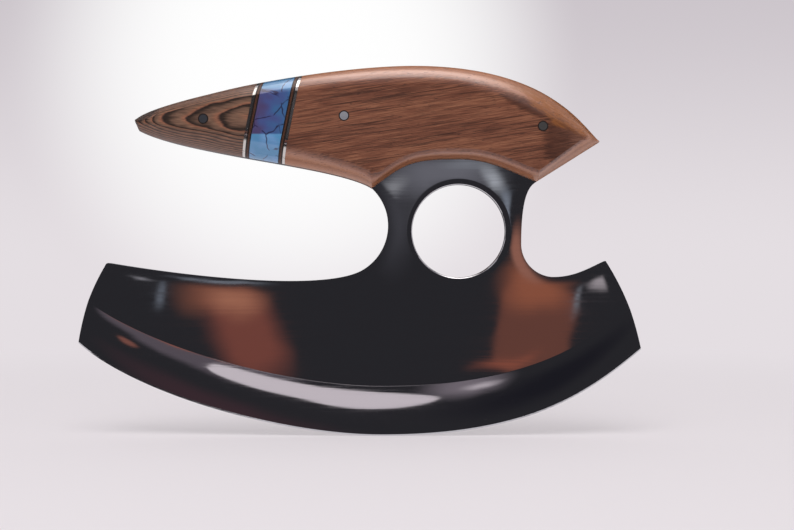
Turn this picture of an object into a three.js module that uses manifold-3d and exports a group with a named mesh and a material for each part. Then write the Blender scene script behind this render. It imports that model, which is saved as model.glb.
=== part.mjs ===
// Ulu knife: a crescent blade, a neck with a finger hole and a full tang, cut from one steel plate,
// with a pinned two-sided handle of wood, metal and fibre spacers and a stone inlay.
// Millimetres. +X runs from the toe to the heel of the blade, +Z up, and -Y is the front face.
// The origin is midway between toe and heel, at the lowest point of the cutting edge.
import * as THREE from 'three';
import { mergeVertices } from 'three/addons/utils/BufferGeometryUtils.js';
import Module from 'manifold-3d';

// Steel plate
const STEEL_THICKNESS = 3.2;
const TOE_LENGTH = 120.1;
const HEEL_LENGTH = 57.7;
const OVERALL_HEIGHT = 116.5;
const TOE_RISE = 29.4;
const HEEL_RISE = 27.4;
const BELLY_BEFORE_HOLE = 24.2;
const TOE_EDGE_ANGLE = 41.8;
const HEEL_EDGE_ANGLE = 40.1;
const TOE_EDGE_REACH = 23.7;
const HEEL_EDGE_REACH = 21.8;
const BELLY_TOE_REACH = 32.2;
const BELLY_HEEL_REACH = 46.5;

// Upright ends of the crescent
const TOE_END_LEAN = 9.1;
const TOE_END_HEIGHT = 25.4;
const TOE_END_BOW = 1.25;
const TOE_CORNER_ROUND = 1;
const HEEL_END_LEAN = 11.4;
const HEEL_END_HEIGHT = 27.9;
const HEEL_END_BOW = 1.4;

// Hollow grind, as heights above the cutting edge and thicknesses of steel
const EDGE_LAND = 0.2;
const MICRO_BEVEL_HEIGHT = 0.8;
const MICRO_BEVEL_THICKNESS = 0.7;
const GRIND_HEIGHT = 15.9;
const GRIND_WHEEL_RADIUS = 100;

// Finger hole and neck
const HOLE_DIAMETER = 29.3;
const HOLE_BELOW_TOP = 51.8;
const HOLE_EASE = 0.5;
const NECK_TOE_WALL = 7.6;
const NECK_HEEL_WALL = 5.05;
const NECK_TOE_RADIUS = 16.2;
const NECK_TOE_CENTRE_ABOVE_HOLE = 1.75;
const NECK_TOE_TOP_ANGLE = 46.6;
const NECK_TOE_END_ANGLE = -60;
const NECK_HEEL_RADIUS = 10.45;
const NECK_HEEL_CENTRE_BELOW_HOLE = 4;
const NECK_HEEL_FLARE = 4.85;
const NECK_HEEL_RISE = 19.6;
const NECK_HEEL_REACH = 17;
const NECK_HEEL_TOP_ANGLE = 35;
const NECK_HEEL_TOP_REACH = 2;
const TOE_SPINE_ANGLE = 170.5;
const TOE_SPINE_REACH = 34;
const TOE_SPINE_NECK_REACH = 12;
const HEEL_SPINE_ANGLE = 24;
const HEEL_SPINE_REACH = 5;
const HEEL_SPINE_NECK_REACH = 7;

// Handle outline
const NOSE_FROM_SHOULDER = 74.4;
const NOSE_BELOW_TOP = 17.3;
const NOSE_REACH = 4.8;
const CHIN_SETBACK = 1.2;
const CHIN_DROP = 3;
const CHIN_ANGLE = -26.4;
const CHIN_REACH = 17.6;
const UNDERSIDE_ANGLE = -33;
const UNDERSIDE_REACH = 13;
const CROWN_BEFORE_HOLE = 14.1;
const CROWN_NOSE_REACH = 32;
const CROWN_HEEL_REACH = 41.6;
const HEEL_FACET_RUN = 19.6;
const HEEL_FACET_RISE = 12.3;
const HEEL_POINT_ANGLE = 132;
const HEEL_POINT_REACH = 7.3;
const ARCH_ABOVE_HOLE = 8.1;
const ARCH_TOE_ANGLE = 37.3;
const ARCH_TOE_REACH = 12.7;
const ARCH_HEEL_ANGLE = -21;
const ARCH_HEEL_REACH = 9;
const ARCH_CROWN_TOE_REACH = 15;
const ARCH_CROWN_HEEL_REACH = 10;

// Handle scales
const SCALE_THICKNESS = 8;
const NOSE_THICKNESS = 2.4;
const NOSE_TAPER_RUN = 8;
const NOSE_TAPER_THICKNESS = 5.4;
const HEEL_POINT_THICKNESS = 2.6;
const HEEL_TAPER_RUN = 5;
const HEEL_TAPER_THICKNESS = 7;
const ROUND_DEPTH = 6.5;
const NOSE_TOP_ROUND = 2.4;
const NOSE_LOW_ROUND = 3.6;
const STACK_TOP_ROUND = 4.3;
const STACK_LOW_ROUND = 7.5;
const UNDERSIDE_TOP_ROUND = 5.2;
const UNDERSIDE_LOW_ROUND = 4.8;
const ARCH_TOP_ROUND = 5.4;
const ARCH_ROUND = 2.6;
const ARCH_ROUND_RUN_IN = 2;
const FACET_TOP_ROUND = 8;
const FACET_ROUND = 3;
const HEEL_POINT_TOP_ROUND = 4.5;
const HEEL_POINT_LOW_ROUND = 5;
const TOP_FULLNESS = 0.55;
const UNDERSIDE_FULLNESS = 0.6;
const ARCH_FULLNESS = 0.6;
const FACET_FULLNESS = 0.35;
const ROUND_LAND = 0.4;
const TIP_LAND = 0.3;
const GLUE_LINE = 0.05;

// Spacer stack, from the tip scale to the main scale
const STACK_FROM_NOSE = 33.9;
const STACK_TILT = 11.5;
const SILVER_SPACER = 0.8;
const OUTER_BLACK_SPACER = 0.35;
const BROWN_SPACER = 0.5;
const INNER_BLACK_SPACER = 0.3;
const INLAY_WIDTH = 9.1;

// Pins, placed from the foot of the stack and from the heel point, and down from the handle's top edge
const PIN_DIAMETER = 3.2;
const PIN_CLEARANCE = 0.05;
const TIP_PIN_BEFORE_STACK = 11.6;
const TIP_PIN_BELOW_TOP = 8.2;
const MIDDLE_PIN_AFTER_STACK = 18.3;
const MIDDLE_PIN_BELOW_TOP = 15;
const HEEL_PIN_BEFORE_POINT = 18.5;
const HEEL_PIN_BELOW_TOP = 11.4;

// Fineness of the curved faces
const CURVE_STEPS = 16;
const EDGE_STEPS = 22;
const HOLLOW_STEPS = 4;
const ROUND_STEPS = 5;
const STRETCH_STEPS = 9;
const HOLE_SIDES = 56;
const PIN_SIDES = 20;
const FLAT_SHARE = 0.15;
const SPARE = 6;

const wasm = await Module();
wasm.setup();

const { degToRad, lerp, mapLinear } = THREE.MathUtils;
const point = (x, z) => new THREE.Vector2(x, z);
const heading = (angle) => point(Math.cos(degToRad(angle)), Math.sin(degToRad(angle)));

// A smooth curve that leaves one point at an angle and arrives at the next at another angle.
function bend(from, leaveAngle, leaveReach, to, arriveAngle, arriveReach) {
  const leave = heading(leaveAngle).multiplyScalar(leaveReach).add(from);
  const arrive = heading(arriveAngle).multiplyScalar(-arriveReach).add(to);
  return new THREE.CubicBezierCurve(from, leave, arrive, to);
}

// A shallow curve between two points that bows out to the right of the way it runs.
function bowed(from, to, bow) {
  const along = to.clone().sub(from).normalize();
  const middle = from.clone().lerp(to, 0.5);
  const control = middle.add(point(along.y, -along.x).multiplyScalar(2 * bow));
  return new THREE.QuadraticBezierCurve(from, control, to);
}

// The height of a run of curves at one place along X. Each curve runs one way in X.
function heightAt(curves, x) {
  const within = (curve) => {
    const [a, b] = [curve.getPoint(0).x, curve.getPoint(1).x];
    return x >= Math.min(a, b) && x <= Math.max(a, b);
  };
  const curve = curves.find(within);
  const forward = curve.getPoint(1).x > curve.getPoint(0).x;
  let low = 0;
  let high = 1;
  for (let halving = 0; halving < 40; halving += 1) {
    const middle = (low + high) / 2;
    const before = curve.getPoint(middle).x < x;
    if (before === forward) low = middle;
    else high = middle;
  }
  return curve.getPoint(low).y;
}

// A closed geometry as a solid that can be joined and cut.
function solidOf(geometry) {
  const bare = geometry.clone();
  bare.deleteAttribute('normal');
  bare.deleteAttribute('uv');
  const merged = mergeVertices(bare, 1e-5);
  return new wasm.Manifold(new wasm.Mesh({
    numProp: 3,
    vertProperties: new Float32Array(merged.attributes.position.array),
    triVerts: new Uint32Array(merged.index.array),
  }));
}

// A named piece from a finished solid.
function piece(name, solid, material) {
  const mesh = solid.getMesh();
  const geometry = new THREE.BufferGeometry();
  geometry.setAttribute('position', new THREE.BufferAttribute(new Float32Array(mesh.vertProperties), 3));
  geometry.setIndex(new THREE.BufferAttribute(new Uint32Array(mesh.triVerts), 1));
  const named = new THREE.Mesh(geometry, material.clone());
  named.name = name;
  named.geometry.computeVertexNormals();
  return named;
}

// A plate of one outline, standing upright, centred on the middle plane of the steel.
function plate(curves, thickness) {
  const outline = new THREE.Shape();
  curves.forEach((curve) => outline.add(curve));
  const settings = { depth: thickness, bevelEnabled: false, curveSegments: CURVE_STEPS };
  const geometry = new THREE.ExtrudeGeometry(outline, settings);
  return solidOf(geometry.rotateX(Math.PI / 2).translate(0, thickness / 2, 0));
}

// A skin over cross-sections that follow each other along X, with both ends closed.
// Each section is a loop of points that runs anticlockwise as seen from +X.
function loft(sections) {
  const count = sections[0].length;
  const positions = sections.flat().flatMap((corner) => corner.toArray());
  const faces = [];
  for (let row = 0; row < sections.length - 1; row += 1) {
    for (let side = 0; side < count; side += 1) {
      const next = (side + 1) % count;
      const [a, b] = [row * count + side, row * count + next];
      faces.push(a, b, b + count, a, b + count, a + count);
    }
  }
  const flat = (loop) => loop.map((corner) => point(corner.y, corner.z));
  const capOf = (loop) => THREE.ShapeUtils.triangulateShape(flat(loop), []);
  const last = (sections.length - 1) * count;
  capOf(sections[0]).forEach(([a, b, c]) => faces.push(a, c, b));
  capOf(sections.at(-1)).forEach(([a, b, c]) => faces.push(last + a, last + b, last + c));
  const geometry = new THREE.BufferGeometry();
  geometry.setAttribute('position', new THREE.Float32BufferAttribute(positions, 3));
  geometry.setIndex(faces);
  return solidOf(geometry);
}

// A round bar through the knife from front to rear.
function crossBar(diameter, length, { x, z }) {
  const bar = new THREE.CylinderGeometry(diameter / 2, diameter / 2, length, PIN_SIDES);
  return solidOf(bar.translate(x, 0, z));
}

// Corners that the outlines share
const halfSteel = STEEL_THICKNESS / 2;
const holeRadius = HOLE_DIAMETER / 2;
const bladeLength = TOE_LENGTH + HEEL_LENGTH;
const hole = point(TOE_LENGTH - bladeLength / 2, OVERALL_HEIGHT - HOLE_BELOW_TOP);
const toeTip = point(-bladeLength / 2, TOE_RISE);
const heelTip = point(bladeLength / 2, HEEL_RISE);
const belly = point(hole.x - BELLY_BEFORE_HOLE, 0);
const toeCorner = point(toeTip.x + TOE_END_LEAN, toeTip.y + TOE_END_HEIGHT);
const toeSpineEnd = toeCorner.clone().sub(heading(TOE_SPINE_ANGLE).multiplyScalar(TOE_CORNER_ROUND));
const toeEndStart = toeTip.clone().sub(toeCorner).setLength(TOE_CORNER_ROUND).add(toeCorner);
const heelCorner = point(heelTip.x - HEEL_END_LEAN, heelTip.y + HEEL_END_HEIGHT);

const toeNeck = point(
  hole.x - holeRadius - NECK_TOE_WALL - NECK_TOE_RADIUS,
  hole.y + NECK_TOE_CENTRE_ABOVE_HOLE,
);
const onToeNeck = (angle) => heading(angle).multiplyScalar(NECK_TOE_RADIUS).add(toeNeck);
const toeShoulder = onToeNeck(NECK_TOE_TOP_ANGLE);
const toeFoot = onToeNeck(NECK_TOE_END_ANGLE);

const heelNeckX = hole.x + holeRadius + NECK_HEEL_WALL;
const heelNeck = point(heelNeckX + NECK_HEEL_RADIUS, hole.y - NECK_HEEL_CENTRE_BELOW_HOLE);
const heelNeckSide = point(heelNeckX, heelNeck.y);
const heelFoot = point(heelNeck.x, heelNeck.y - NECK_HEEL_RADIUS);
const heelShoulder = point(heelNeckX + NECK_HEEL_FLARE, heelNeckSide.y + NECK_HEEL_RISE);

const nose = point(toeShoulder.x - NOSE_FROM_SHOULDER, OVERALL_HEIGHT - NOSE_BELOW_TOP);
const chin = point(nose.x + CHIN_SETBACK, nose.y - CHIN_DROP);
const crown = point(hole.x - CROWN_BEFORE_HOLE, OVERALL_HEIGHT);
const heelPoint = point(heelShoulder.x + HEEL_FACET_RUN, heelShoulder.y + HEEL_FACET_RISE);
const archCrown = point(hole.x, hole.y + holeRadius + ARCH_ABOVE_HOLE);

// Curves of the handle outline, each run from left to right except the top, which runs from right to left
const noseFacet = new THREE.LineCurve(nose, chin);
const underside = bend(chin, CHIN_ANGLE, CHIN_REACH, toeShoulder, UNDERSIDE_ANGLE, UNDERSIDE_REACH);
const archToeHalf = bend(
  toeShoulder, ARCH_TOE_ANGLE, ARCH_TOE_REACH,
  archCrown, 0, ARCH_CROWN_TOE_REACH,
);
const archHeelHalf = bend(
  archCrown, 0, ARCH_CROWN_HEEL_REACH,
  heelShoulder, ARCH_HEEL_ANGLE, ARCH_HEEL_REACH,
);
const heelFacet = new THREE.LineCurve(heelShoulder, heelPoint);
const topOfHeel = bend(heelPoint, HEEL_POINT_ANGLE, HEEL_POINT_REACH, crown, 180, CROWN_HEEL_REACH);
const topOfNose = bend(crown, 180, CROWN_NOSE_REACH, nose, -90, NOSE_REACH);
const handleTop = [topOfHeel, topOfNose];
const handleBottom = [noseFacet, underside, archToeHalf, archHeelHalf, heelFacet];

// Half the steel's thickness at a height above the cutting edge: a land, a small bevel, then the
// hollow that a grinding wheel leaves, up to the full plate.
function halfThicknessAbove(rise) {
  if (rise <= MICRO_BEVEL_HEIGHT) {
    return mapLinear(rise, 0, MICRO_BEVEL_HEIGHT, EDGE_LAND / 2, MICRO_BEVEL_THICKNESS / 2);
  }
  const width = GRIND_HEIGHT - MICRO_BEVEL_HEIGHT;
  const along = (rise - MICRO_BEVEL_HEIGHT) / width;
  const hollow = (width * width * along * (1 - along)) / (2 * GRIND_WHEEL_RADIUS);
  return lerp(MICRO_BEVEL_THICKNESS / 2, halfSteel, along) - hollow;
}

// Plate stock with the cutting edge ground along it, longer and higher than the finished blade.
function groundStock() {
  const toeEdge = bend(toeTip, -TOE_EDGE_ANGLE, TOE_EDGE_REACH, belly, 0, BELLY_TOE_REACH);
  const heelEdge = bend(belly, 0, BELLY_HEEL_REACH, heelTip, HEEL_EDGE_ANGLE, HEEL_EDGE_REACH);
  const beyondToe = point(toeTip.x - SPARE, toeTip.y + SPARE * Math.tan(degToRad(TOE_EDGE_ANGLE)));
  const beyondHeel = point(heelTip.x + SPARE, heelTip.y + SPARE * Math.tan(degToRad(HEEL_EDGE_ANGLE)));
  const edge = [
    beyondToe,
    ...toeEdge.getPoints(EDGE_STEPS),
    ...heelEdge.getPoints(EDGE_STEPS).slice(1),
    beyondHeel,
  ];
  const rises = [0];
  for (let step = 0; step <= HOLLOW_STEPS; step += 1) {
    rises.push(lerp(MICRO_BEVEL_HEIGHT, GRIND_HEIGHT, step / HOLLOW_STEPS));
  }
  const stockTop = OVERALL_HEIGHT + SPARE;
  const sections = edge.map(({ x, y }) => {
    const rear = rises.map((rise) => new THREE.Vector3(x, halfThicknessAbove(rise), y + rise));
    rear.push(new THREE.Vector3(x, halfSteel, stockTop));
    const front = rear.map((corner) => new THREE.Vector3(x, -corner.y, corner.z));
    return [...rear, ...front.reverse()];
  });
  return loft(sections);
}

// The outline that the steel is cut to. Below the edge it is left square, because the grind ends it there.
function steelOutline() {
  const belowToe = point(toeTip.x, -SPARE);
  const belowHeel = point(heelTip.x, -SPARE);
  const toeArc = new THREE.EllipseCurve(
    toeNeck.x, toeNeck.y, NECK_TOE_RADIUS, NECK_TOE_RADIUS,
    degToRad(NECK_TOE_TOP_ANGLE), degToRad(NECK_TOE_END_ANGLE), true,
  );
  const heelArc = new THREE.EllipseCurve(
    heelNeck.x, heelNeck.y, NECK_HEEL_RADIUS, NECK_HEEL_RADIUS, 1.5 * Math.PI, Math.PI, true,
  );
  const toeSpine = bend(
    toeFoot, NECK_TOE_END_ANGLE - 90, TOE_SPINE_NECK_REACH,
    toeSpineEnd, TOE_SPINE_ANGLE, TOE_SPINE_REACH,
  );
  const heelSpine = bend(
    heelCorner, 180 + HEEL_SPINE_ANGLE, HEEL_SPINE_REACH,
    heelFoot, 180, HEEL_SPINE_NECK_REACH,
  );
  const heelFlare = bend(
    heelNeckSide, 90, NECK_HEEL_REACH,
    heelShoulder, NECK_HEEL_TOP_ANGLE, NECK_HEEL_TOP_REACH,
  );
  return [
    new THREE.LineCurve(belowToe, belowHeel),
    new THREE.LineCurve(belowHeel, heelTip),
    bowed(heelTip, heelCorner, HEEL_END_BOW),
    heelSpine,
    heelArc,
    heelFlare,
    heelFacet,
    topOfHeel,
    topOfNose,
    noseFacet,
    underside,
    toeArc,
    toeSpine,
    new THREE.QuadraticBezierCurve(toeSpineEnd, toeCorner, toeEndStart),
    bowed(toeEndStart, toeTip, TOE_END_BOW),
    new THREE.LineCurve(toeTip, belowToe),
  ];
}

// What the finger hole takes out of the steel: a round hole with both rims eased.
function fingerHole() {
  const reach = halfSteel + SPARE;
  const rim = [];
  for (let step = 0; step <= ROUND_STEPS; step += 1) {
    const turn = (step / ROUND_STEPS) * (Math.PI / 2);
    const radius = holeRadius + HOLE_EASE * (1 - Math.sin(turn));
    rim.push(point(radius, -halfSteel + HOLE_EASE * (1 - Math.cos(turn))));
  }
  const farRim = rim.map(({ x, y }) => point(x, -y)).reverse();
  const wide = holeRadius + HOLE_EASE;
  const nearEnd = [point(0, -reach), point(wide, -reach)];
  const farEnd = [point(wide, reach), point(0, reach)];
  const profile = [...nearEnd, ...rim, ...farRim, ...farEnd];
  return solidOf(new THREE.LatheGeometry(profile, HOLE_SIDES).translate(hole.x, 0, hole.y));
}

// Widths of the rounded edges and thickness of the scale at stations along the handle. full is how far the
// lower edge bulges, from 0 for a flat chamfer to 1 for a quarter round.
const stackX = nose.x + STACK_FROM_NOSE;
const noseShare = NOSE_TAPER_RUN / STACK_FROM_NOSE;
const heelShare = 1 - HEEL_TAPER_RUN / HEEL_FACET_RUN;
const roundStations = [
  { x: nose.x, top: NOSE_TOP_ROUND, low: NOSE_LOW_ROUND, deep: NOSE_THICKNESS, full: UNDERSIDE_FULLNESS },
  {
    x: nose.x + NOSE_TAPER_RUN,
    top: lerp(NOSE_TOP_ROUND, STACK_TOP_ROUND, noseShare),
    low: lerp(NOSE_LOW_ROUND, STACK_LOW_ROUND, noseShare),
    deep: NOSE_TAPER_THICKNESS,
    full: UNDERSIDE_FULLNESS,
  },
  { x: stackX, top: STACK_TOP_ROUND, low: STACK_LOW_ROUND, deep: SCALE_THICKNESS, full: UNDERSIDE_FULLNESS },
  {
    x: toeShoulder.x,
    top: UNDERSIDE_TOP_ROUND,
    low: UNDERSIDE_LOW_ROUND,
    deep: SCALE_THICKNESS,
    full: UNDERSIDE_FULLNESS,
  },
  {
    x: toeShoulder.x + ARCH_ROUND_RUN_IN,
    top: UNDERSIDE_TOP_ROUND,
    low: ARCH_ROUND,
    deep: SCALE_THICKNESS,
    full: ARCH_FULLNESS,
  },
  { x: archCrown.x, top: ARCH_TOP_ROUND, low: ARCH_ROUND, deep: SCALE_THICKNESS, full: ARCH_FULLNESS },
  { x: heelShoulder.x, top: FACET_TOP_ROUND, low: FACET_ROUND, deep: SCALE_THICKNESS, full: FACET_FULLNESS },
  {
    x: heelPoint.x - HEEL_TAPER_RUN,
    top: lerp(FACET_TOP_ROUND, HEEL_POINT_TOP_ROUND, heelShare),
    low: lerp(FACET_ROUND, HEEL_POINT_LOW_ROUND, heelShare),
    deep: HEEL_TAPER_THICKNESS,
    full: FACET_FULLNESS,
  },
  {
    x: heelPoint.x,
    top: HEEL_POINT_TOP_ROUND,
    low: HEEL_POINT_LOW_ROUND,
    deep: HEEL_POINT_THICKNESS,
    full: FACET_FULLNESS,
  },
];

// The station sizes at one place along the handle, read between the two stations beside it.
function roundAt(x) {
  const after = roundStations.findIndex((station) => station.x >= x);
  const [a, b] = [roundStations[after - 1], roundStations[after]];
  const between = (size) => mapLinear(x, a.x, b.x, a[size], b[size]);
  return { top: between('top'), low: between('low'), deep: between('deep'), full: between('full') };
}

// One cross-section of a scale blank, as distances out from the tang and heights.
function blankSection(x) {
  const bottom = heightAt(handleBottom, x);
  const top = heightAt(handleTop, x);
  const { top: topRound, low: lowRound, deep, full } = roundAt(x);
  const room = (top - bottom) * (1 - FLAT_SHARE);
  const fit = Math.min(1, room / (topRound + lowRound));
  const roundDeep = Math.min(ROUND_DEPTH, deep - ROUND_LAND);
  const lowArc = [];
  const topArc = [];
  for (let step = 0; step <= ROUND_STEPS; step += 1) {
    const share = step / ROUND_STEPS;
    const turn = share * (Math.PI / 2);
    const [out, inset] = [Math.sin(turn), 1 - Math.cos(turn)];
    const lowOut = deep - roundDeep * (1 - lerp(share, out, full));
    const topOut = deep - roundDeep * (1 - lerp(share, out, TOP_FULLNESS));
    lowArc.push(point(lowOut, bottom + fit * lowRound * lerp(share, inset, full)));
    topArc.push(point(topOut, top - fit * topRound * lerp(share, inset, TOP_FULLNESS)));
  }
  return [point(0, bottom), ...lowArc, ...topArc.reverse(), point(0, top)];
}

// A scale in one length, before it is sawn for the spacers. side is 1 for the rear and -1 for the front.
function scaleBlank(side) {
  const stretches = [chin.x, ...roundStations.slice(1, -1).map(({ x }) => x), heelPoint.x - TIP_LAND];
  const stations = [nose.x + TIP_LAND];
  for (let stretch = 1; stretch < stretches.length; stretch += 1) {
    for (let step = 0; step < STRETCH_STEPS; step += 1) {
      stations.push(lerp(stretches[stretch - 1], stretches[stretch], step / STRETCH_STEPS));
    }
  }
  stations.push(stretches.at(-1));
  const foot = halfSteel + GLUE_LINE;
  const sections = stations.map((x) => {
    const loop = blankSection(x).map((corner) => new THREE.Vector3(x, side * (foot + corner.x), corner.y));
    return side > 0 ? loop : loop.reverse();
  });
  return loft(sections);
}

// A slab between two saw cuts, given as distances from the foot of the stack along its own direction.
function slab(from, to) {
  const tall = 2 * OVERALL_HEIGHT;
  const deep = 4 * (halfSteel + SCALE_THICKNESS);
  const box = new THREE.BoxGeometry(to - from, deep, tall).translate((from + to) / 2, 0, 0);
  const foot = point(stackX, heightAt(handleBottom, stackX));
  return solidOf(box.rotateY(degToRad(STACK_TILT)).translate(foot.x, 0, foot.y));
}

// Finishes
const { MeshStandardMaterial } = THREE;
const polishedSteel = new MeshStandardMaterial({ color: 0x8b8f96, roughness: 0.08, metalness: 1 });
const redBrownWood = new MeshStandardMaterial({ color: 0x7a4a35, roughness: 0.42, metalness: 0 });
const figuredWood = new MeshStandardMaterial({ color: 0x6b5340, roughness: 0.45, metalness: 0 });
const blueStone = new MeshStandardMaterial({ color: 0x3d6fae, roughness: 0.2, metalness: 0 });
const nickelSilver = new MeshStandardMaterial({ color: 0xd9d6d2, roughness: 0.2, metalness: 1 });
const blackFibre = new MeshStandardMaterial({ color: 0x17130f, roughness: 0.5, metalness: 0 });
const brownFibre = new MeshStandardMaterial({ color: 0x5a3a2c, roughness: 0.5, metalness: 0 });

// The sawn handle, from the nose to the heel point
const layers = [
  { name: 'tip_silver_spacer', thick: SILVER_SPACER, material: nickelSilver },
  { name: 'tip_outer_black_spacer', thick: OUTER_BLACK_SPACER, material: blackFibre },
  { name: 'tip_brown_spacer', thick: BROWN_SPACER, material: brownFibre },
  { name: 'tip_inner_black_spacer', thick: INNER_BLACK_SPACER, material: blackFibre },
  { name: 'inlay', thick: INLAY_WIDTH, material: blueStone },
  { name: 'main_inner_black_spacer', thick: INNER_BLACK_SPACER, material: blackFibre },
  { name: 'main_brown_spacer', thick: BROWN_SPACER, material: brownFibre },
  { name: 'main_outer_black_spacer', thick: OUTER_BLACK_SPACER, material: blackFibre },
  { name: 'main_silver_spacer', thick: SILVER_SPACER, material: nickelSilver },
];

const stackThickness = layers.reduce((sum, { thick }) => sum + thick + GLUE_LINE, 0);
const afterStackX = stackX + stackThickness / Math.cos(degToRad(STACK_TILT));

const pinAt = (x, belowTop) => ({ x, z: heightAt(handleTop, x) - belowTop });
const pins = [
  { name: 'tip_pin', place: pinAt(stackX - TIP_PIN_BEFORE_STACK, TIP_PIN_BELOW_TOP) },
  { name: 'middle_pin', place: pinAt(afterStackX + MIDDLE_PIN_AFTER_STACK, MIDDLE_PIN_BELOW_TOP) },
  { name: 'heel_pin', place: pinAt(heelPoint.x - HEEL_PIN_BEFORE_POINT, HEEL_PIN_BELOW_TOP) },
];
const throughLength = 2 * (halfSteel + GLUE_LINE + SCALE_THICKNESS) + SPARE;
const pinHoles = pins
  .map(({ place }) => crossBar(PIN_DIAMETER + 2 * PIN_CLEARANCE, throughLength, place))
  .reduce((all, bar) => all.add(bar));

const knife = new THREE.Group();
knife.name = 'ulu_knife';

const blade = groundStock()
  .intersect(plate(steelOutline(), STEEL_THICKNESS + SPARE))
  .subtract(fingerHole())
  .subtract(pinHoles);
knife.add(piece('blade', blade, polishedSteel));

const blanks = { rear: scaleBlank(1), front: scaleBlank(-1) };
for (const [side, blank] of Object.entries(blanks)) {
  const drilled = blank.subtract(pinHoles);
  knife.add(piece(`${side}_tip_scale`, drilled.intersect(slab(-bladeLength, -GLUE_LINE)), figuredWood));
  let sawn = 0;
  for (const { name, thick, material } of layers) {
    knife.add(piece(`${side}_${name}`, drilled.intersect(slab(sawn, sawn + thick)), material));
    sawn += thick + GLUE_LINE;
  }
  knife.add(piece(`${side}_main_scale`, drilled.intersect(slab(sawn, bladeLength)), redBrownWood));
}

// The pins are filed flush with the finished scales on both sides.
const tangCore = plate([...handleBottom, ...handleTop], STEEL_THICKNESS + 4 * GLUE_LINE);
const handleBody = blanks.rear.add(blanks.front).add(tangCore);
for (const { name, place } of pins) {
  knife.add(piece(name, crossBar(PIN_DIAMETER, throughLength, place).intersect(handleBody), polishedSteel));
}

export default knife;
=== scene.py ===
"""Ulu knife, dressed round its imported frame.

A mirror-polished crescent blade with a finger hole, and a pinned handle of oiled wood with a
spacer stack and a blue stone inlay. Sizes are millimetres in the fields and metres in the meshes.
+X runs from the toe to the heel of the blade, +Z up, and -Y is the front.
"""
import logging
import math
from collections.abc import Iterable, Iterator
from contextlib import contextmanager
from dataclasses import dataclass, field
from enum import Enum
from functools import cached_property, partial
from typing import Any

import bmesh
import bpy
import numpy as np
from bpy.types import Material, Mesh, Node, NodeSocket, NodeTree, Object
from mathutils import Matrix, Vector
from mathutils.geometry import delaunay_2d_cdt


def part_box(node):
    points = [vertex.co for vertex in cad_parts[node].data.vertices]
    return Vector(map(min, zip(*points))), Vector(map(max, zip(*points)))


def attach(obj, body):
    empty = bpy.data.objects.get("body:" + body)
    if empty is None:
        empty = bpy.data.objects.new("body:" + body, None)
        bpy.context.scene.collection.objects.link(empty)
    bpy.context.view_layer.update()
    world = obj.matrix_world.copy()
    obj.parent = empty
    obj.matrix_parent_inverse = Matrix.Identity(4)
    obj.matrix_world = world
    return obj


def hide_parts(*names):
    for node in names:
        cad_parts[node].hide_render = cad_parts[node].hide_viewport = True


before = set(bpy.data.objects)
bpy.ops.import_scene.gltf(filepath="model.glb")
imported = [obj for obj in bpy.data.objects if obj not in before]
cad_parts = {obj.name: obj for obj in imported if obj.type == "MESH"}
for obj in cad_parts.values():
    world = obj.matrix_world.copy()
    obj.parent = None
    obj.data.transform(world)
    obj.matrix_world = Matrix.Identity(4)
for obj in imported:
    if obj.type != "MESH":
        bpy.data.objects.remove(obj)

Pair = tuple[float, float]
Triple = tuple[float, float, float]
Stops = tuple[tuple[float, str], ...]
Inputs = dict[int | str | tuple[str, ...], Any]

MM = 0.001
LOG = logging.getLogger("ulu_knife")
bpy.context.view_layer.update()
PIN_NODES = ("tip_pin", "middle_pin", "heel_pin")
# Inputs that are set together: the two ends of a range before and after, a mix, and a clear coat.
FROM, TO, MIX = ("From Min", "From Max"), ("To Min", "To Max"), ("Factor", "A", "B")
COAT = ("Coat Weight", "Coat Roughness")
# The kind of a geometry tree's input, by what it takes.
SOCKETS = {float: "NodeSocketFloat", int: "NodeSocketInt", Material: "NodeSocketMaterial"}
# A size along an axis that a pattern goes right through.
THROUGH = 1e5
# How near two points of a mesh count as one, in metres.
TOUCHING = 1e-7
# Headings in degrees, from +X up towards +Z.
LEFT, DOWN = 180.0, 270.0


class Side(Enum):
    """The two faces of the knife, as the sign of Y."""

    FRONT = -1
    REAR = 1


class Slot(Enum):
    """The record's material slots."""

    STEEL = "polished_steel"
    MAIN_WOOD = "main_wood"
    TIP_WOOD = "tip_wood"
    STONE = "blue_stone"
    SILVER = "nickel_silver"
    BLACK = "black_fibre"
    BROWN = "brown_fibre"


def linear(colour: str) -> tuple[float, float, float, float]:
    """Turns an sRGB hex colour to linear light.

    Args:
        colour: The colour as "#rrggbb".

    Returns:
        Red, green, blue and an alpha of 1.
    """
    shares = [int(colour[at:at + 2], 16) / 255 for at in (1, 3, 5)]
    red, green, blue = (
        share / 12.92 if share <= 0.04045 else ((share + 0.055) / 1.055) ** 2.4 for share in shares
    )
    return red, green, blue, 1.0


def connect(tree: NodeTree, node: Node, inputs: Inputs) -> None:
    """Sets a node's inputs.

    Args:
        tree: The shader or geometry tree that the node is in.
        node: The node.
        inputs: For each input, by name or place, a value, a socket to link from, or a node whose
            first output in use is linked. Several names together take as many of these.
    """
    for key, value in inputs.items():
        for name, source in zip(key, value) if isinstance(key, tuple) else ((key, value),):
            if isinstance(source, Node):
                source = next(socket for socket in source.outputs if socket.enabled)
            if isinstance(source, NodeSocket):
                tree.links.new(source, node.inputs[name])
            else:
                node.inputs[name].default_value = source


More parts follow.
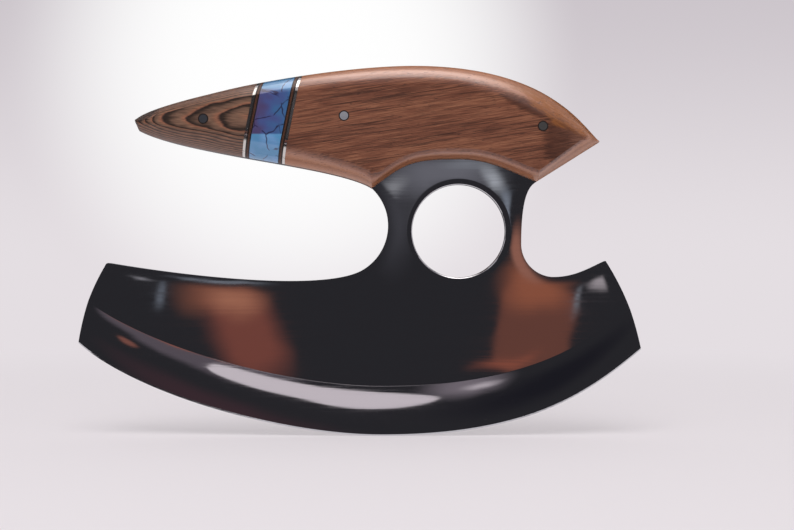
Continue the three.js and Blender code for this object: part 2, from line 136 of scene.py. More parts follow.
def add_node(
    tree: NodeTree,
    kind: str,
    inputs: Inputs | None = None,
    stops: Iterable[tuple[float, str]] = (),
    **settings: Any,
) -> Node:
    """Adds a node with its settings, values and links.

    Args:
        tree: The shader or geometry tree to add to.
        kind: The node's type name, which for a shader node goes without its prefix.
        inputs: What its inputs take, as for connect.
        stops: For a colour ramp, places from 0 to 1 with their sRGB hex colours, in order.
        **settings: The node's own properties.

    Returns:
        The new node.
    """
    node = tree.nodes.new(kind if "Node" in kind else f"ShaderNode{kind}")
    for name, value in settings.items():
        setattr(node, name, value)
    for at, (place, colour) in enumerate(stops):
        elements = node.color_ramp.elements
        element = elements[at] if at < len(elements) else elements.new(place)
        element.position, element.color = place, linear(colour)
    connect(tree, node, inputs or {})
    return node


def metres(sizes: Iterable[float]) -> tuple[float, ...]:
    """Gives sizes in metres from ones in millimetres."""
    return tuple(size * MM for size in sizes)


def add_object(name: str, data: bpy.types.ID) -> Object:
    """Adds an object to the scene.

    Args:
        name: Its name.
        data: Its mesh, camera or light.

    Returns:
        The new object.
    """
    made = bpy.data.objects.new(name, data)
    bpy.context.scene.collection.objects.link(made)
    return made


def pin_centres() -> list[Vector]:
    """Gives the middle of each pin, where the frame has it."""
    return [(low + high) / 2 for low, high in map(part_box, PIN_NODES)]


@dataclass(frozen=True)
class Finish:
    """What one material of the knife is and how its surface was made."""

    name: str
    noise_roughness: float = 0.5

    def material(self) -> Material:
        """Gives the finish's material, made on first use.

        Returns:
            The material, with its shader set.
        """
        known = bpy.data.materials.get(self.name)
        if known is not None:
            return known
        made = bpy.data.materials.new(self.name)
        made.use_nodes = True
        self.paint(made.node_tree, made.node_tree.nodes["Principled BSDF"])
        return made

    def paint(self, tree: NodeTree, shader: Node) -> None:
        """Sets the Principled BSDF in a material's tree. Each kind of finish has its own way."""
        raise NotImplementedError

    def stretched(
        self,
        tree: NodeTree,
        size: tuple[float, ...],
        rise: float = 0.0,
        detail: float = 2.0,
    ) -> Node:
        """Adds noise drawn out along the grain or the scratches.

        Args:
            tree: The material's node tree.
            size: The size of one feature along the grain, across the scale and up it.
            rise: How far the grain rises to the heel, in degrees.
            detail: The noise's detail.

        Returns:
            The noise, about 0.5 on average.
        """
        place = add_node(tree, "TexCoord").outputs["Object"]
        mapped = add_node(tree, "Mapping", {
            "Vector": place, "Rotation": (0.0, -math.radians(rise), 0.0), "Scale": metres(size)},
            vector_type="TEXTURE")
        return add_node(tree, "TexNoise", {
            "Vector": mapped, "Scale": 1.0, "Detail": detail, "Roughness": self.noise_roughness})


@dataclass(frozen=True)
class PolishedSteel(Finish):
    """Stainless plate, ground and buffed to a mirror.

    It shows the room it faces, with a faint waviness and hairlines left along the blade by the
    last belt. A relief is its strength and its depth.
    """

    colour: str = "#cfd0d3"
    roughness: Pair = (0.025, 0.06)
    # The belt's scratches are a few hundredths of a millimetre wide: drawn at half a millimetre
    # to show.
    hairline: Triple = (30.0, 4.0, 0.5)
    hairline_range: Pair = (0.35, 0.7)
    hairline_relief: Pair = (0.1, 0.01)
    wave: Triple = (38.0, 20.0, 17.0)
    wave_relief: Pair = (0.25, 0.1)

    def paint(self, tree: NodeTree, shader: Node) -> None:
        """Mirror metal with stretched hairlines in its roughness.

        Args:
            tree: The material's node tree.
            shader: Its Principled BSDF.
        """
        lines = self.stretched(tree, self.hairline, detail=3.0)
        waves = self.stretched(tree, self.wave, detail=1.0)
        rough = add_node(tree, "MapRange", {
            "Value": lines, FROM: self.hairline_range, TO: self.roughness})
        normal: dict[str, Node] = {}
        reliefs = (waves, self.wave_relief), (lines, self.hairline_relief)
        for height, (strength, depth) in reliefs:
            normal = {"Normal": add_node(tree, "Bump", {
                "Height": height, "Strength": strength, "Distance": depth * MM, **normal})}
        connect(tree, shader, {
            "Base Color": linear(self.colour), "Metallic": 1.0, "Roughness": rough, **normal})


@dataclass(frozen=True)
class NickelSilver(Finish):
    """Nickel silver sheet, sanded and buffed flush with the wood: bright where it faces light."""

    colour: str = "#dcd9d4"
    roughness: Pair = (0.15, 0.19)
    scratch: Triple = (0.3, 2.0, 0.5)
    scratch_range: Pair = (0.3, 0.7)

    def paint(self, tree: NodeTree, shader: Node) -> None:
        """Bright metal with sanding marks across the strip.

        Args:
            tree: The material's node tree.
            shader: Its Principled BSDF.
        """
        rough = add_node(tree, "MapRange", {
            "Value": self.stretched(tree, self.scratch), FROM: self.scratch_range,
            TO: self.roughness})
        connect(tree, shader, {
            "Base Color": linear(self.colour), "Metallic": 1.0, "Roughness": rough})


@dataclass(frozen=True)
class VulcanisedFibre(Finish):
    """Pressed fibre sheet, sanded flush and oiled: even, with a faint mottle of the pulp."""

    dark: str = "#17110e"
    light: str = "#2a201b"
    pulp: float = 0.4
    pulp_range: Pair = (0.35, 0.65)
    roughness: float = 0.4

    def paint(self, tree: NodeTree, shader: Node) -> None:
        """Mottled sheet.

        Args:
            tree: The material's node tree.
            shader: Its Principled BSDF.
        """
        mottle = self.stretched(tree, (self.pulp,) * 3)
        ramp = add_node(tree, "ValToRGB", {0: mottle},
                        stops=zip(self.pulp_range, (self.dark, self.light)))
        connect(tree, shader, {"Base Color": ramp, "Roughness": self.roughness})


@dataclass(frozen=True)
class Spot:
    """An oval of figure that keeps to one place in the wood.

    Its middle and its half size are along the handle and up it, and its lean is in degrees, down
    to the heel. rim is where it has faded out and where it is full, as shares of the oval, and
    ragged is how far noise pushes that.
    """

    centre: Pair
    half_size: Pair
    ragged: float
    lean: float = 0.0
    rim: Pair = (1.15, 0.8)


@dataclass(frozen=True)
class Stain:
    """A colour that lies over another where a pattern is strong.

    ends are the pattern's values where it begins and where it is full, and strength is how much of
    the colour below it then covers.
    """

    colour: str
    ends: Pair
    strength: float = 1.0

    def over(self, tree: NodeTree, below: Node, pattern: Node) -> tuple[Node, Node]:
        """Lays the stain over a colour.

        Args:
            tree: The material's node tree.
            below: The colour.
            pattern: The pattern that the stain follows.

        Returns:
            The stained colour, and how much of it is stain.
        """
        share = add_node(tree, "MapRange", {
            "Value": pattern, FROM: self.ends, TO: (0.0, self.strength)})
        stained = add_node(tree, "Mix", {
            MIX: (share, below, linear(self.colour))}, data_type="RGBA")
        return stained, share


@dataclass(frozen=True)
class OiledWood(Finish):
    """Close-grained wood, sanded fine, oiled and buffed, with dark glue round each pin.

    The glue's ends are the distances from a pin's middle where it has faded out and where it is
    full.
    """

    noise_roughness: float = 0.55
    glue: Stain = Stain("#17100e", (1.72 * MM, 1.56 * MM))
    coat: Pair = (0.5, 0.2)
    pore_relief: Pair = (0.35, 0.06)

    def spot(self, tree: NodeTree, spot: Spot, noise: Node) -> Node:
        """Adds a ragged oval through the scale.

        Args:
            tree: The material's node tree.
            spot: The oval.
            noise: The noise that makes its rim ragged.

        Returns:
            1 inside, falling to 0 outside.
        """
        add = partial(add_node, tree)
        (x, z), (wide, tall) = spot.centre, spot.half_size
        local = add("Mapping", {
            "Vector": add("TexCoord").outputs["Object"],
            "Location": metres((x, 0.0, z)), "Rotation": (0.0, math.radians(spot.lean), 0.0),
            "Scale": metres((wide, THROUGH, tall))}, vector_type="TEXTURE")
        away = add("VectorMath", {0: local}, operation="LENGTH")
        pushed = add("Math", {0: noise, 1: spot.ragged, 2: away}, operation="MULTIPLY_ADD")
        return add("MapRange", {"Value": pushed, FROM: [end + spot.ragged / 2 for end in spot.rim]})

    def varnish(
        self,
        tree: NodeTree,
        shader: Node,
        colour: Node,
        rough: Node,
        height: Node,
    ) -> None:
        """Draws the glue round the pins over the wood's colour and sets the buffed surface.

        Args:
            tree: The material's node tree.
            shader: Its Principled BSDF.
            colour: The wood's own colour.
            rough: Its roughness.
            height: Its relief, 1 in a pore.
        """
        add = partial(add_node, tree)
        place = add("TexCoord").outputs["Object"]
        level = add("VectorMath", {0: place, 1: (1.0, 0.0, 1.0)}, operation="MULTIPLY")
        for centre in pin_centres():
            away = add("VectorMath", {0: level, 1: (centre.x, 0.0, centre.z)}, operation="DISTANCE")
            colour, _ = self.glue.over(tree, colour, away)
        strength, depth = self.pore_relief
        bump = add("Bump", {
            "Height": height, "Strength": strength, "Distance": depth * MM}, invert=True)
        connect(tree, shader, {
            "Base Color": colour, "Roughness": rough, "Normal": bump, COAT: self.coat})


@dataclass(frozen=True)
class OiledWalnut(OiledWood):
    """Walnut: reddish brown with long thin dark streaks that rise a little to the heel, and pores.

    Warmer, lighter layers show where the rounded edges cut down towards the tang; part of that
    lightness is painted sheen on the upper rounds and painted light from below on the chamfers.
    At the heel there are dark curls and a golden brown tint.
    """

    rise: float = 8.5
    streak: Triple = (13.0, 0.62, 0.22)
    fibre: Triple = (7.0, 0.5, 0.17)
    tone: Triple = (40.0, 7.0, 4.5)
    pore: Triple = (2.4, 0.4, 0.28)
    fleck: Triple = (3.0, 0.8, 0.4)
    ground_tone: float = 0.4
    ground_colours: Stops = ((0.55, "#603727"), (0.7, "#784732"), (0.85, "#8f5c41"))
    streak_tone: float = 0.28
    streaks: Stain = Stain("#3f241a", (0.6, 0.5), 0.8)
    pores: Stain = Stain("#2f1b16", (0.62, 0.7), 0.7)
    curl: Stain = Stain("#3a1e15", (0.1, 0.72))
    curl_spots: tuple[Spot, ...] = (
        Spot((63.5, 92.3), (7.0, 9.5), 1.6), Spot((52.0, 103.4), (9.0, 2.2), 1.6, 25.0))
    gold: Stain = Stain("#8a5226", (0.2, 0.56), 0.85)
    gold_spot: Spot = Spot((62.0, 102.6), (19.0, 5.0), 1.2, 33.0)
    layer_depths: Pair = (3.2, 9.6)
    layer_wander: float = 2.0
    # Partly painted: sheen on the upper rounds and light from below on the chamfers.
    layer_and_sheen_colours: Stops = (
        (0.12, "#ad7048"), (0.34, "#a86c47"), (0.5, "#965f3c"), (0.62, "#b07a5b"),
        (0.78, "#b1826d"), (0.93, "#7a4c39"))
    layer_range: Pair = (0.96, 0.72)
    layer_and_sheen_strength: float = 0.8
    rough_range: Pair = (0.35, 0.7)
    roughness: Pair = (0.34, 0.46)

    def paint(self, tree: NodeTree, shader: Node) -> None:
        """Streaks, curls, layers by depth from the tang with painted sheen, golden tint, pores.

        Args:
            tree: The material's node tree.
            shader: Its Principled BSDF.
        """
        add = partial(add_node, tree)
        streak, fibre, tone, pore = (
            self.stretched(tree, size, self.rise)
            for size in (self.streak, self.fibre, self.tone, self.pore))
        even, gathered = (
            add("Math", {0: tone, 1: share, 2: fine}, operation="MULTIPLY_ADD")
            for share, fine in ((self.ground_tone, fibre), (self.streak_tone, streak)))
        ground = add("ValToRGB", {0: even}, stops=self.ground_colours)
        colour, _ = self.streaks.over(tree, ground, gathered)
        for spot in self.curl_spots:
            curled = add("Math", {0: self.spot(tree, spot, streak), 1: fibre}, operation="MULTIPLY")
            colour, _ = self.curl.over(tree, colour, curled)
        place = add("TexCoord").outputs["Object"]
        depth = add("Math", {0: add("SeparateXYZ", {0: place}).outputs["Y"]}, operation="ABSOLUTE")
        layered = add("Math", {0: fibre, 1: self.layer_wander * MM, 2: depth},
                      operation="MULTIPLY_ADD")
        band = add("MapRange", {
            "Value": layered,
            FROM: metres(end + self.layer_wander / 2 for end in self.layer_depths)})
        # Layers by depth, whose colours carry painted sheen and painted light from below.
        layers = add("ValToRGB", {0: band}, stops=self.layer_and_sheen_colours)
        cut = add("MapRange", {
            "Value": band, FROM: self.layer_range, TO: (0.0, self.layer_and_sheen_strength)})
        colour = add("Mix", {MIX: (cut, colour, layers)}, data_type="RGBA")
        flecks = self.stretched(tree, self.fleck, -self.gold_spot.lean)
        tinted = add("Math", {0: self.spot(tree, self.gold_spot, tone), 1: flecks},
                     operation="MULTIPLY")
        colour, _ = self.gold.over(tree, colour, tinted)
        colour, pores = self.pores.over(tree, colour, pore)
        rough = add("MapRange", {"Value": fibre, FROM: self.rough_range, TO: self.roughness})
        self.varnish(tree, shader, colour, rough, pores)


@dataclass(frozen=True)
class FiguredZiricote(OiledWood):
    """Ziricote: olive brown with thin dark growth rings that lie almost flat with the face.

    The taper to the nose cuts the rings into nested bows, and the rounded edges into close
    parallel lines.
    """

    coat: Pair = (0.3, 0.25)
    rise: float = -4.0
    ring: float = 0.84
    ridge_height: float = 99.6
    ridge_slope: float = 0.26
    ridge_round: float = 2.0
    wander: Triple = (16.0, 6.0, 7.0)
    wander_reach: float = 1.3
    fibre: Triple = (5.0, 0.6, 0.26)
    fibre_reach: float = 0.22
    fibre_range: Pair = (0.3, 0.7)
    fibre_shade: Pair = (0.58, 1.25)
    roughness: Pair = (0.36, 0.5)
    ring_colours: Stops = (
        (0.0, "#2a1d19"), (0.14, "#37281f"), (0.34, "#664a3b"), (0.66, "#7a5a47"),
        (0.9, "#8f5c44"), (0.98, "#4a3129"))
    nose: Stain = Stain("#1d1512", (0.0, 1.0), 0.8)
    nose_spot: Spot = Spot((-68.0, 101.4), (7.0, 2.4), 0.8, -28.0)

    def paint(self, tree: NodeTree, shader: Node) -> None:
        """Growth rings by depth from the tang, bent along a ridge that follows the handle.

        Args:
            tree: The material's node tree.
            shader: Its Principled BSDF.
        """
        add = partial(add_node, tree)
        wander, fibre = (
            self.stretched(tree, size, self.rise) for size in (self.wander, self.fibre))
        place = add("TexCoord").outputs["Object"]
        where = add("SeparateXYZ", {0: place}).outputs
        depth = add("Math", {0: where["Y"]}, operation="ABSOLUTE")
        above = add("Math", {0: where["Z"], 1: self.ridge_height * MM}, operation="SUBTRACT")
        square = add("Math", {0: above, 1: above, 2: (self.ridge_round * MM) ** 2},
                     operation="MULTIPLY_ADD")
        ring = depth
        for bend, reach in (
                (add("Math", {0: square}, operation="SQRT"), -self.ridge_slope),
                (wander, self.wander_reach * MM), (fibre, self.fibre_reach * MM)):
            ring = add("Math", {0: bend, 1: reach, 2: ring}, operation="MULTIPLY_ADD")
        count = add("Math", {0: ring, 1: self.ring * MM}, operation="DIVIDE")
        saw = add("Math", {0: count}, operation="FRACT")
        rings = add("ValToRGB", {0: saw}, stops=self.ring_colours)
        shade, rough = (
            add("MapRange", {"Value": fibre, FROM: self.fibre_range, TO: ends})
            for ends in (self.fibre_shade, self.roughness))
        colour = add("Mix", {MIX: (1.0, rings, shade)}, data_type="RGBA", blend_type="MULTIPLY")
        colour, _ = self.nose.over(tree, colour, self.spot(tree, self.nose_spot, fibre))
        self.varnish(tree, shader, colour, rough, fibre)


@dataclass(frozen=True)
class BlueStone(Finish):
    """Reconstituted stone, cast from coloured chips in a dark binder and polished.

    Sky blue at its foot and along its crown, indigo and blue between in soft clouds, with a thin
    broken web where the binder shows.
    """

    cloud: float = 5.0
    # From the tip side of the leaning block to its main side, the clouds turn from indigo to blue.
    sides: Pair = (-53.0, -42.5)
    side_lean: float = 0.2
    side_pull: float = 0.28
    body_colours: Stops = ((0.28, "#4a4068"), (0.5, "#424f84"), (0.72, "#385f8e"))
    # The heights over which the sky blue comes in.
    foot: Pair = (94.7, 94.3)
    crown: Pair = (107.8, 109.0)
    sky_colours: Stops = ((0.4, "#4f8ab5"), (0.62, "#6595c4"))
    chip: float = 7.6
    stir: float = 3.0
    stir_reach: float = 1.6
    web: float = 0.3
    web_fade: Pair = (0.25, 0.75)
    web_strength: float = 0.85
    web_colour: str = "#241d3c"
    web_break: float = 5.0
    web_break_range: Pair = (0.42, 0.48)
    roughness: float = 0.25
    coat: Pair = (1.0, 0.08)

    def paint(self, tree: NodeTree, shader: Node) -> None:
        """Soft colour clouds under a broken web.

        Args:
            tree: The material's node tree.
            shader: Its Principled BSDF.
        """
        add = partial(add_node, tree)
        place = add("TexCoord").outputs["Object"]
        where = add("SeparateXYZ", {0: place}).outputs
        clouds, stirred, breaks = (
            self.stretched(tree, (size,) * 3, detail=1.0)
            for size in (self.cloud, self.stir, self.web_break))
        across = add("Math", {0: where["Z"], 1: -self.side_lean, 2: where["X"]},
                     operation="MULTIPLY_ADD")
        side = add("MapRange", {
            "Value": across, FROM: metres(self.sides), TO: (-self.side_pull, self.side_pull)})
        pulled = add("Math", {0: clouds, 1: side}, operation="ADD")
        body, sky = (
            add("ValToRGB", {0: shade}, stops=colours)
            for shade, colours in ((pulled, self.body_colours), (clouds, self.sky_colours)))
        low, high = (
            add("MapRange", {"Value": where["Z"], FROM: metres(heights)})
            for heights in (self.foot, self.crown))
        ends = add("Math", {0: low, 1: high}, operation="MAXIMUM")
        blue = add("Mix", {MIX: (ends, body, sky)}, data_type="RGBA")
        moved = add("VectorMath", {
            0: stirred.outputs["Color"], 1: metres((self.stir_reach,) * 3), 2: place},
            operation="MULTIPLY_ADD")
        cells = add("TexVoronoi", {"Vector": moved, "Scale": 1 / (self.chip * MM)},
                    feature="DISTANCE_TO_EDGE").outputs["Distance"]
        lines = add("MapRange", {
            "Value": cells, FROM: [share * self.web / self.chip for share in self.web_fade],
            TO: (self.web_strength, 0.0)})
        kept = add("MapRange", {"Value": breaks, FROM: self.web_break_range})
        shown = add("Math", {0: lines, 1: kept}, operation="MULTIPLY")
        colour = add("Mix", {MIX: (shown, blue, linear(self.web_colour))}, data_type="RGBA")
        connect(tree, shader, {"Base Color": colour, "Roughness": self.roughness, COAT: self.coat})


FINISHES: dict[Slot, Finish] = {
    Slot.STEEL: PolishedSteel("mirror_polished_stainless_steel"),
    Slot.SILVER: NickelSilver("buffed_nickel_silver"),
    Slot.BLACK: VulcanisedFibre("black_vulcanised_fibre"),
    Slot.BROWN: VulcanisedFibre("brown_vulcanised_fibre", dark="#3d2218", light="#5c3726"),
    Slot.MAIN_WOOD: OiledWalnut("oiled_walnut"),
    Slot.TIP_WOOD: FiguredZiricote("oiled_ziricote"),
    Slot.STONE: BlueStone("polished_blue_stone"),
}


def finish_piece(name: str, mesh: Mesh, slot: Slot, nodes: tuple[str, ...]) -> None:
    """Makes a finished mesh a piece of the knife.

    Args:
        name: The piece's name.
        mesh: Its mesh, in place.
        slot: The record's slot that it takes its finish from.
        nodes: The CAD nodes that it stands for.
    """
    if not mesh.materials:
        mesh.materials.append(FINISHES[slot].material())
    piece = add_object(name, mesh)
    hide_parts(*nodes)
    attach(piece, "root")
    LOG.info("%s: %d faces, stands for %s", name, len(mesh.polygons), ", ".join(nodes))


@contextmanager
def edited(mesh: Mesh) -> Iterator[bmesh.types.BMesh]:
    """Opens a mesh for editing, then puts the result back in it.

    Args:
        mesh: The mesh.

    Yields:
        Its editable copy.
    """
    shape = bmesh.new()
    shape.from_mesh(mesh)
    yield shape
    shape.to_mesh(mesh)
    shape.free()


def smooth_under(mesh: Mesh, crease: float) -> None:
    """Turns a closed mesh's faces outward and shades it smooth, with its sharper edges crisp.

    Args:
        mesh: The mesh.
        crease: The angle in degrees from which an edge is crisp.
    """
    with edited(mesh) as shape:
        bmesh.ops.remove_doubles(shape, verts=shape.verts, dist=TOUCHING)
        bmesh.ops.recalc_face_normals(shape, faces=shape.faces)
        for face in shape.faces:
            face.smooth = True
        for edge in shape.edges:
            edge.smooth = edge.calc_face_angle(0.0) < math.radians(crease)


def store(mesh: Mesh, **values: np.ndarray) -> None:
    """Stores values at each point of a mesh, by name."""
    for name, numbers in values.items():
        mesh.attributes.new(name, "FLOAT", "POINT").data.foreach_set("value", list(numbers))


def new_tree(name: str, values: dict[str, Any]) -> NodeTree:
    """Starts a geometry tree with named inputs.

    Args:
        name: The tree's name.
        values: What its inputs will take, by name.

    Returns:
        The tree, with a geometry input and output and no nodes.
    """
    tree = bpy.data.node_groups.new(name, "GeometryNodeTree")
    for way in ("INPUT", "OUTPUT"):
        tree.interface.new_socket("Geometry", in_out=way, socket_type="NodeSocketGeometry")
    for key, value in values.items():
        tree.interface.new_socket(key, in_out="INPUT", socket_type=SOCKETS[type(value)])
    return tree


def mesh_from_tree(mesh: Mesh, tree: NodeTree, values: dict[str, Any]) -> Mesh:
    """Runs a geometry tree on a mesh and gives the result as a plain mesh.

    Args:
        mesh: The tree's input, removed afterwards.
        tree: The geometry tree.
        values: What its inputs take, by name.

    Returns:
        The new mesh.
    """
    carrier = add_object("carrier", mesh)
    modifier = carrier.modifiers.new("shape", "NODES")
    modifier.node_group = tree
    for socket in tree.interface.items_tree:
        if socket.name in values:
            modifier[socket.identifier] = values[socket.name]
    graph = bpy.context.evaluated_depsgraph_get()
    made = bpy.data.meshes.new_from_object(carrier.evaluated_get(graph), depsgraph=graph)
    carrier.modifiers.remove(modifier)
    bpy.data.objects.remove(carrier)
    bpy.data.meshes.remove(mesh)
    return made


def heading(angle: float) -> np.ndarray:
    """Gives the unit direction at an angle in degrees, from +X up towards +Z."""
    return np.array([math.cos(math.radians(angle)), math.sin(math.radians(angle))])


def straight(start: np.ndarray, end: np.ndarray, steps: int) -> np.ndarray:
    """Gives points on a straight line, one row each, in equal steps from start to end."""
    return start + np.linspace(0, 1, steps + 1)[:, None] * (end - start)


def arc(centre: np.ndarray, radius: float, first: float, last: float, steps: int) -> np.ndarray:
    """Gives points on an arc, one row each, in equal steps between two angles in degrees."""
    angles = np.radians(np.linspace(first, last, steps + 1))
    return centre + radius * np.stack([np.cos(angles), np.sin(angles)], axis=1)


def bowed(start: np.ndarray, end: np.ndarray, bow: float, steps: int) -> np.ndarray:
    """Gives points on a shallow curve that bows out to the right of the way it runs.

    Args:
        start: The first point.
        end: The last point.
        bow: How far the middle stands out.
        steps: The number of steps.

    Returns:
        The points, one row each.
    """
    along = (end - start) / np.linalg.norm(end - start)
    share = np.linspace(0, 1, steps + 1)[:, None]
    out = np.array([along[1], -along[0]])
    return start + share * (end - start) + 4 * bow * share * (1 - share) * out


def joined(*runs: np.ndarray) -> np.ndarray:
    """Joins curves that each start where the last one ended."""
    return np.concatenate([runs[0], *(run[1:] for run in runs[1:])])


def distance(points: np.ndarray, line: np.ndarray) -> np.ndarray:
    """Gives the distance of points from a line of many segments.

    Args:
        points: The points, one row each.
        line: The line's corners, one row each.

    Returns:
        Each point's distance.
    """
    run = np.diff(line, axis=0)
    offset = points[:, None] - line[:-1]
    share = np.clip((offset * run).sum(axis=2) / (run * run).sum(axis=1), 0, 1)
    return np.linalg.norm(offset - share[..., None] * run, axis=2).min(axis=1)


@dataclass(frozen=True)
class Bend:
    """How a curve leaves one point and arrives at the next: angles in degrees, and reaches."""

    leave_angle: float
    leave_reach: float
    arrive_angle: float
    arrive_reach: float

    def between(self, start: np.ndarray, end: np.ndarray, steps: int) -> np.ndarray:
        """Gives points on the curve.

        Args:
            start: The first point.
            end: The last point.
            steps: The number of steps.

        Returns:
            The points, one row each.
        """
        share = np.linspace(0, 1, steps + 1)[:, None]
        rest = 1 - share
        leave = start + self.leave_reach * heading(self.leave_angle)
        arrive = end - self.arrive_reach * heading(self.arrive_angle)
        return (
            rest**3 * start + 3 * rest**2 * share * leave
            + 3 * rest * share**2 * arrive + share**3 * end)


@dataclass(frozen=True)
class Outline:
    """The outline of the steel, in its own plane, as on a paper pattern.

    The handle shares its upper part.
    """

    # Crescent
    toe_length: float = 120.1
    heel_length: float = 57.7
    overall_height: float = 116.5
    toe_rise: float = 29.4
    heel_rise: float = 27.4
    belly_before_hole: float = 24.2
    toe_edge: Bend = Bend(-41.8, 23.7, 0.0, 32.2)
    heel_edge: Bend = Bend(0.0, 46.5, 40.1, 21.8)
    toe_end: Pair = (9.1, 25.4)
    toe_end_bow: float = 1.25
    heel_end: Pair = (-11.4, 27.9)
    heel_end_bow: float = 1.4
    toe_corner_round: float = 1.0
    # Finger hole and neck
    hole_diameter: float = 29.3
    hole_below_top: float = 51.8
    neck_toe_wall: float = 7.6
    neck_heel_wall: float = 5.05
    neck_toe_radius: float = 16.2
    neck_toe_centre_above_hole: float = 1.75
    neck_toe_angles: Pair = (46.6, -60.0)
    neck_heel_radius: float = 10.45
    neck_heel_centre_below_hole: float = 4.0
    neck_heel_flare: Pair = (4.85, 19.6)
    toe_spine: Bend = Bend(-150.0, 12.0, 170.5, 34.0)
    heel_spine: Bend = Bend(204.0, 5.0, 180.0, 7.0)
    heel_flare: Bend = Bend(90.0, 17.0, 35.0, 2.0)
    # Handle
    nose_from_shoulder: float = 74.4
    nose_below_top: float = 17.3
    chin: Pair = (1.2, -3.0)
    crown_before_hole: float = 14.1
    heel_facet: Pair = (19.6, 12.3)
    arch_above_hole: float = 8.1
    underside: Bend = Bend(-26.4, 17.6, -33.0, 13.0)
    arch_toe_half: Bend = Bend(37.3, 12.7, 0.0, 15.0)
    arch_heel_half: Bend = Bend(0.0, 10.0, -21.0, 9.0)
    top_of_heel: Bend = Bend(132.0, 7.3, 180.0, 41.6)
    top_of_nose: Bend = Bend(180.0, 32.0, -90.0, 4.8)
    # Steps along its curves
    edge_steps: int = 400
    end_steps: int = 120
    corner_steps: int = 24
    toe_spine_steps: int = 60
    heel_spine_steps: int = 24
    toe_neck_steps: int = 48
    heel_neck_steps: int = 36
    tang_steps: int = 60
    # The tang's straight runs need only one point in so many.
    facet_stride: int = 10
    nose_stride: int = 20

    @cached_property
    def toe_tip(self) -> np.ndarray:
        """The lowest point of the toe end."""
        return np.array([-(self.toe_length + self.heel_length) / 2, self.toe_rise])

    @cached_property
    def heel_tip(self) -> np.ndarray:
        """The lowest point of the heel end."""
        return np.array([(self.toe_length + self.heel_length) / 2, self.heel_rise])

    @cached_property
    def hole(self) -> np.ndarray:
        """The finger hole's centre."""
        x = self.toe_tip[0] + self.toe_length
        return np.array([x, self.overall_height - self.hole_below_top])

    @cached_property
    def belly(self) -> np.ndarray:
        """The lowest point of the cutting edge."""
        return np.array([self.hole[0] - self.belly_before_hole, 0.0])

    @cached_property
    def toe_neck(self) -> np.ndarray:
        """The centre of the neck's round on the toe side."""
        run = self.hole_diameter / 2 + self.neck_toe_wall + self.neck_toe_radius
        return self.hole + np.array([-run, self.neck_toe_centre_above_hole])

    @cached_property
    def toe_shoulder(self) -> np.ndarray:
        """Where the neck meets the handle's underside."""
        return self.toe_neck + self.neck_toe_radius * heading(self.neck_toe_angles[0])

    @cached_property
    def heel_neck(self) -> np.ndarray:
        """The centre of the neck's round on the heel side."""
        run = self.hole_diameter / 2 + self.neck_heel_wall + self.neck_heel_radius
        return self.hole + np.array([run, -self.neck_heel_centre_below_hole])

    @cached_property
    def heel_neck_side(self) -> np.ndarray:
        """The narrowest point of the neck on the heel side."""
        return self.heel_neck - np.array([self.neck_heel_radius, 0.0])

    @cached_property
    def heel_shoulder(self) -> np.ndarray:
        """Where the neck meets the handle's heel facet."""
        return self.heel_neck_side + np.array(self.neck_heel_flare)

    @cached_property
    def nose(self) -> np.ndarray:
        """The handle's point on the toe side."""
        x = self.toe_shoulder[0] - self.nose_from_shoulder
        return np.array([x, self.overall_height - self.nose_below_top])

    @cached_property
    def chin_point(self) -> np.ndarray:
        """The lower corner of the nose."""
        return self.nose + np.array(self.chin)

    @cached_property
    def crown(self) -> np.ndarray:
        """The highest point of the handle."""
        return np.array([self.hole[0] - self.crown_before_hole, self.overall_height])

    @cached_property
    def heel_point(self) -> np.ndarray:
        """The handle's point on the heel side."""
        return self.heel_shoulder + np.array(self.heel_facet)

    @cached_property
    def arch_crown(self) -> np.ndarray:
        """The top of the arch over the finger hole."""
        return self.hole + np.array([0.0, self.hole_diameter / 2 + self.arch_above_hole])

    @cached_property
    def edge(self) -> np.ndarray:
        """The cutting edge from toe to heel."""
        return joined(
            self.toe_edge.between(self.toe_tip, self.belly, self.edge_steps),
            self.heel_edge.between(self.belly, self.heel_tip, self.edge_steps))

    def edge_height(self, x: np.ndarray) -> np.ndarray:
        """Gives the height of the cutting edge at places along the blade."""
        return np.interp(x, self.edge[:, 0], self.edge[:, 1])

    def above_edge(self, points: np.ndarray) -> np.ndarray:
        """Gives how far points lie above the cutting edge."""
        return points[:, 1] - self.edge_height(points[:, 0])

    def toe_side(self) -> np.ndarray:
        """Gives the toe end from its tip up round its corner to the start of the spine.

        Returns:
            The points, one row each.
        """
        corner = self.toe_tip + np.array(self.toe_end)
        down = (self.toe_tip - corner) / np.linalg.norm(self.toe_tip - corner)
        below = corner + self.toe_corner_round * down
        beyond = corner - self.toe_corner_round * heading(self.toe_spine.arrive_angle)
        side = bowed(below, self.toe_tip, self.toe_end_bow, self.end_steps)[::-1]
        share = np.linspace(0, 1, self.corner_steps + 1)[1:, None]
        turn = (1 - share)**2 * below + 2 * share * (1 - share) * corner + share**2 * beyond
        return np.concatenate([side, turn])

    def heel_side(self) -> np.ndarray:
        """Gives the heel end from its tip up to its corner."""
        corner = self.heel_tip + np.array(self.heel_end)
        return bowed(self.heel_tip, corner, self.heel_end_bow, self.end_steps)

    def handle_bottom(self, steps: int) -> list[np.ndarray]:
        """Gives the handle's lower outline from nose to heel, one curve after the other.

        Args:
            steps: The number of steps in each curve.

        Returns:
            The nose, the underside, the two halves of the arch and the heel facet.
        """
        return [
            straight(self.nose, self.chin_point, steps),
            self.underside.between(self.chin_point, self.toe_shoulder, steps),
            self.arch_toe_half.between(self.toe_shoulder, self.arch_crown, steps),
            self.arch_heel_half.between(self.arch_crown, self.heel_shoulder, steps),
            straight(self.heel_shoulder, self.heel_point, steps),
        ]

    def handle_top(self, steps: int) -> np.ndarray:
        """Gives the handle's top edge from heel to nose.

        Args:
            steps: The number of steps in each of its two curves.

        Returns:
            The points, one row each.
        """
        return joined(
            self.top_of_heel.between(self.heel_point, self.crown, steps),
            self.top_of_nose.between(self.crown, self.nose, steps))

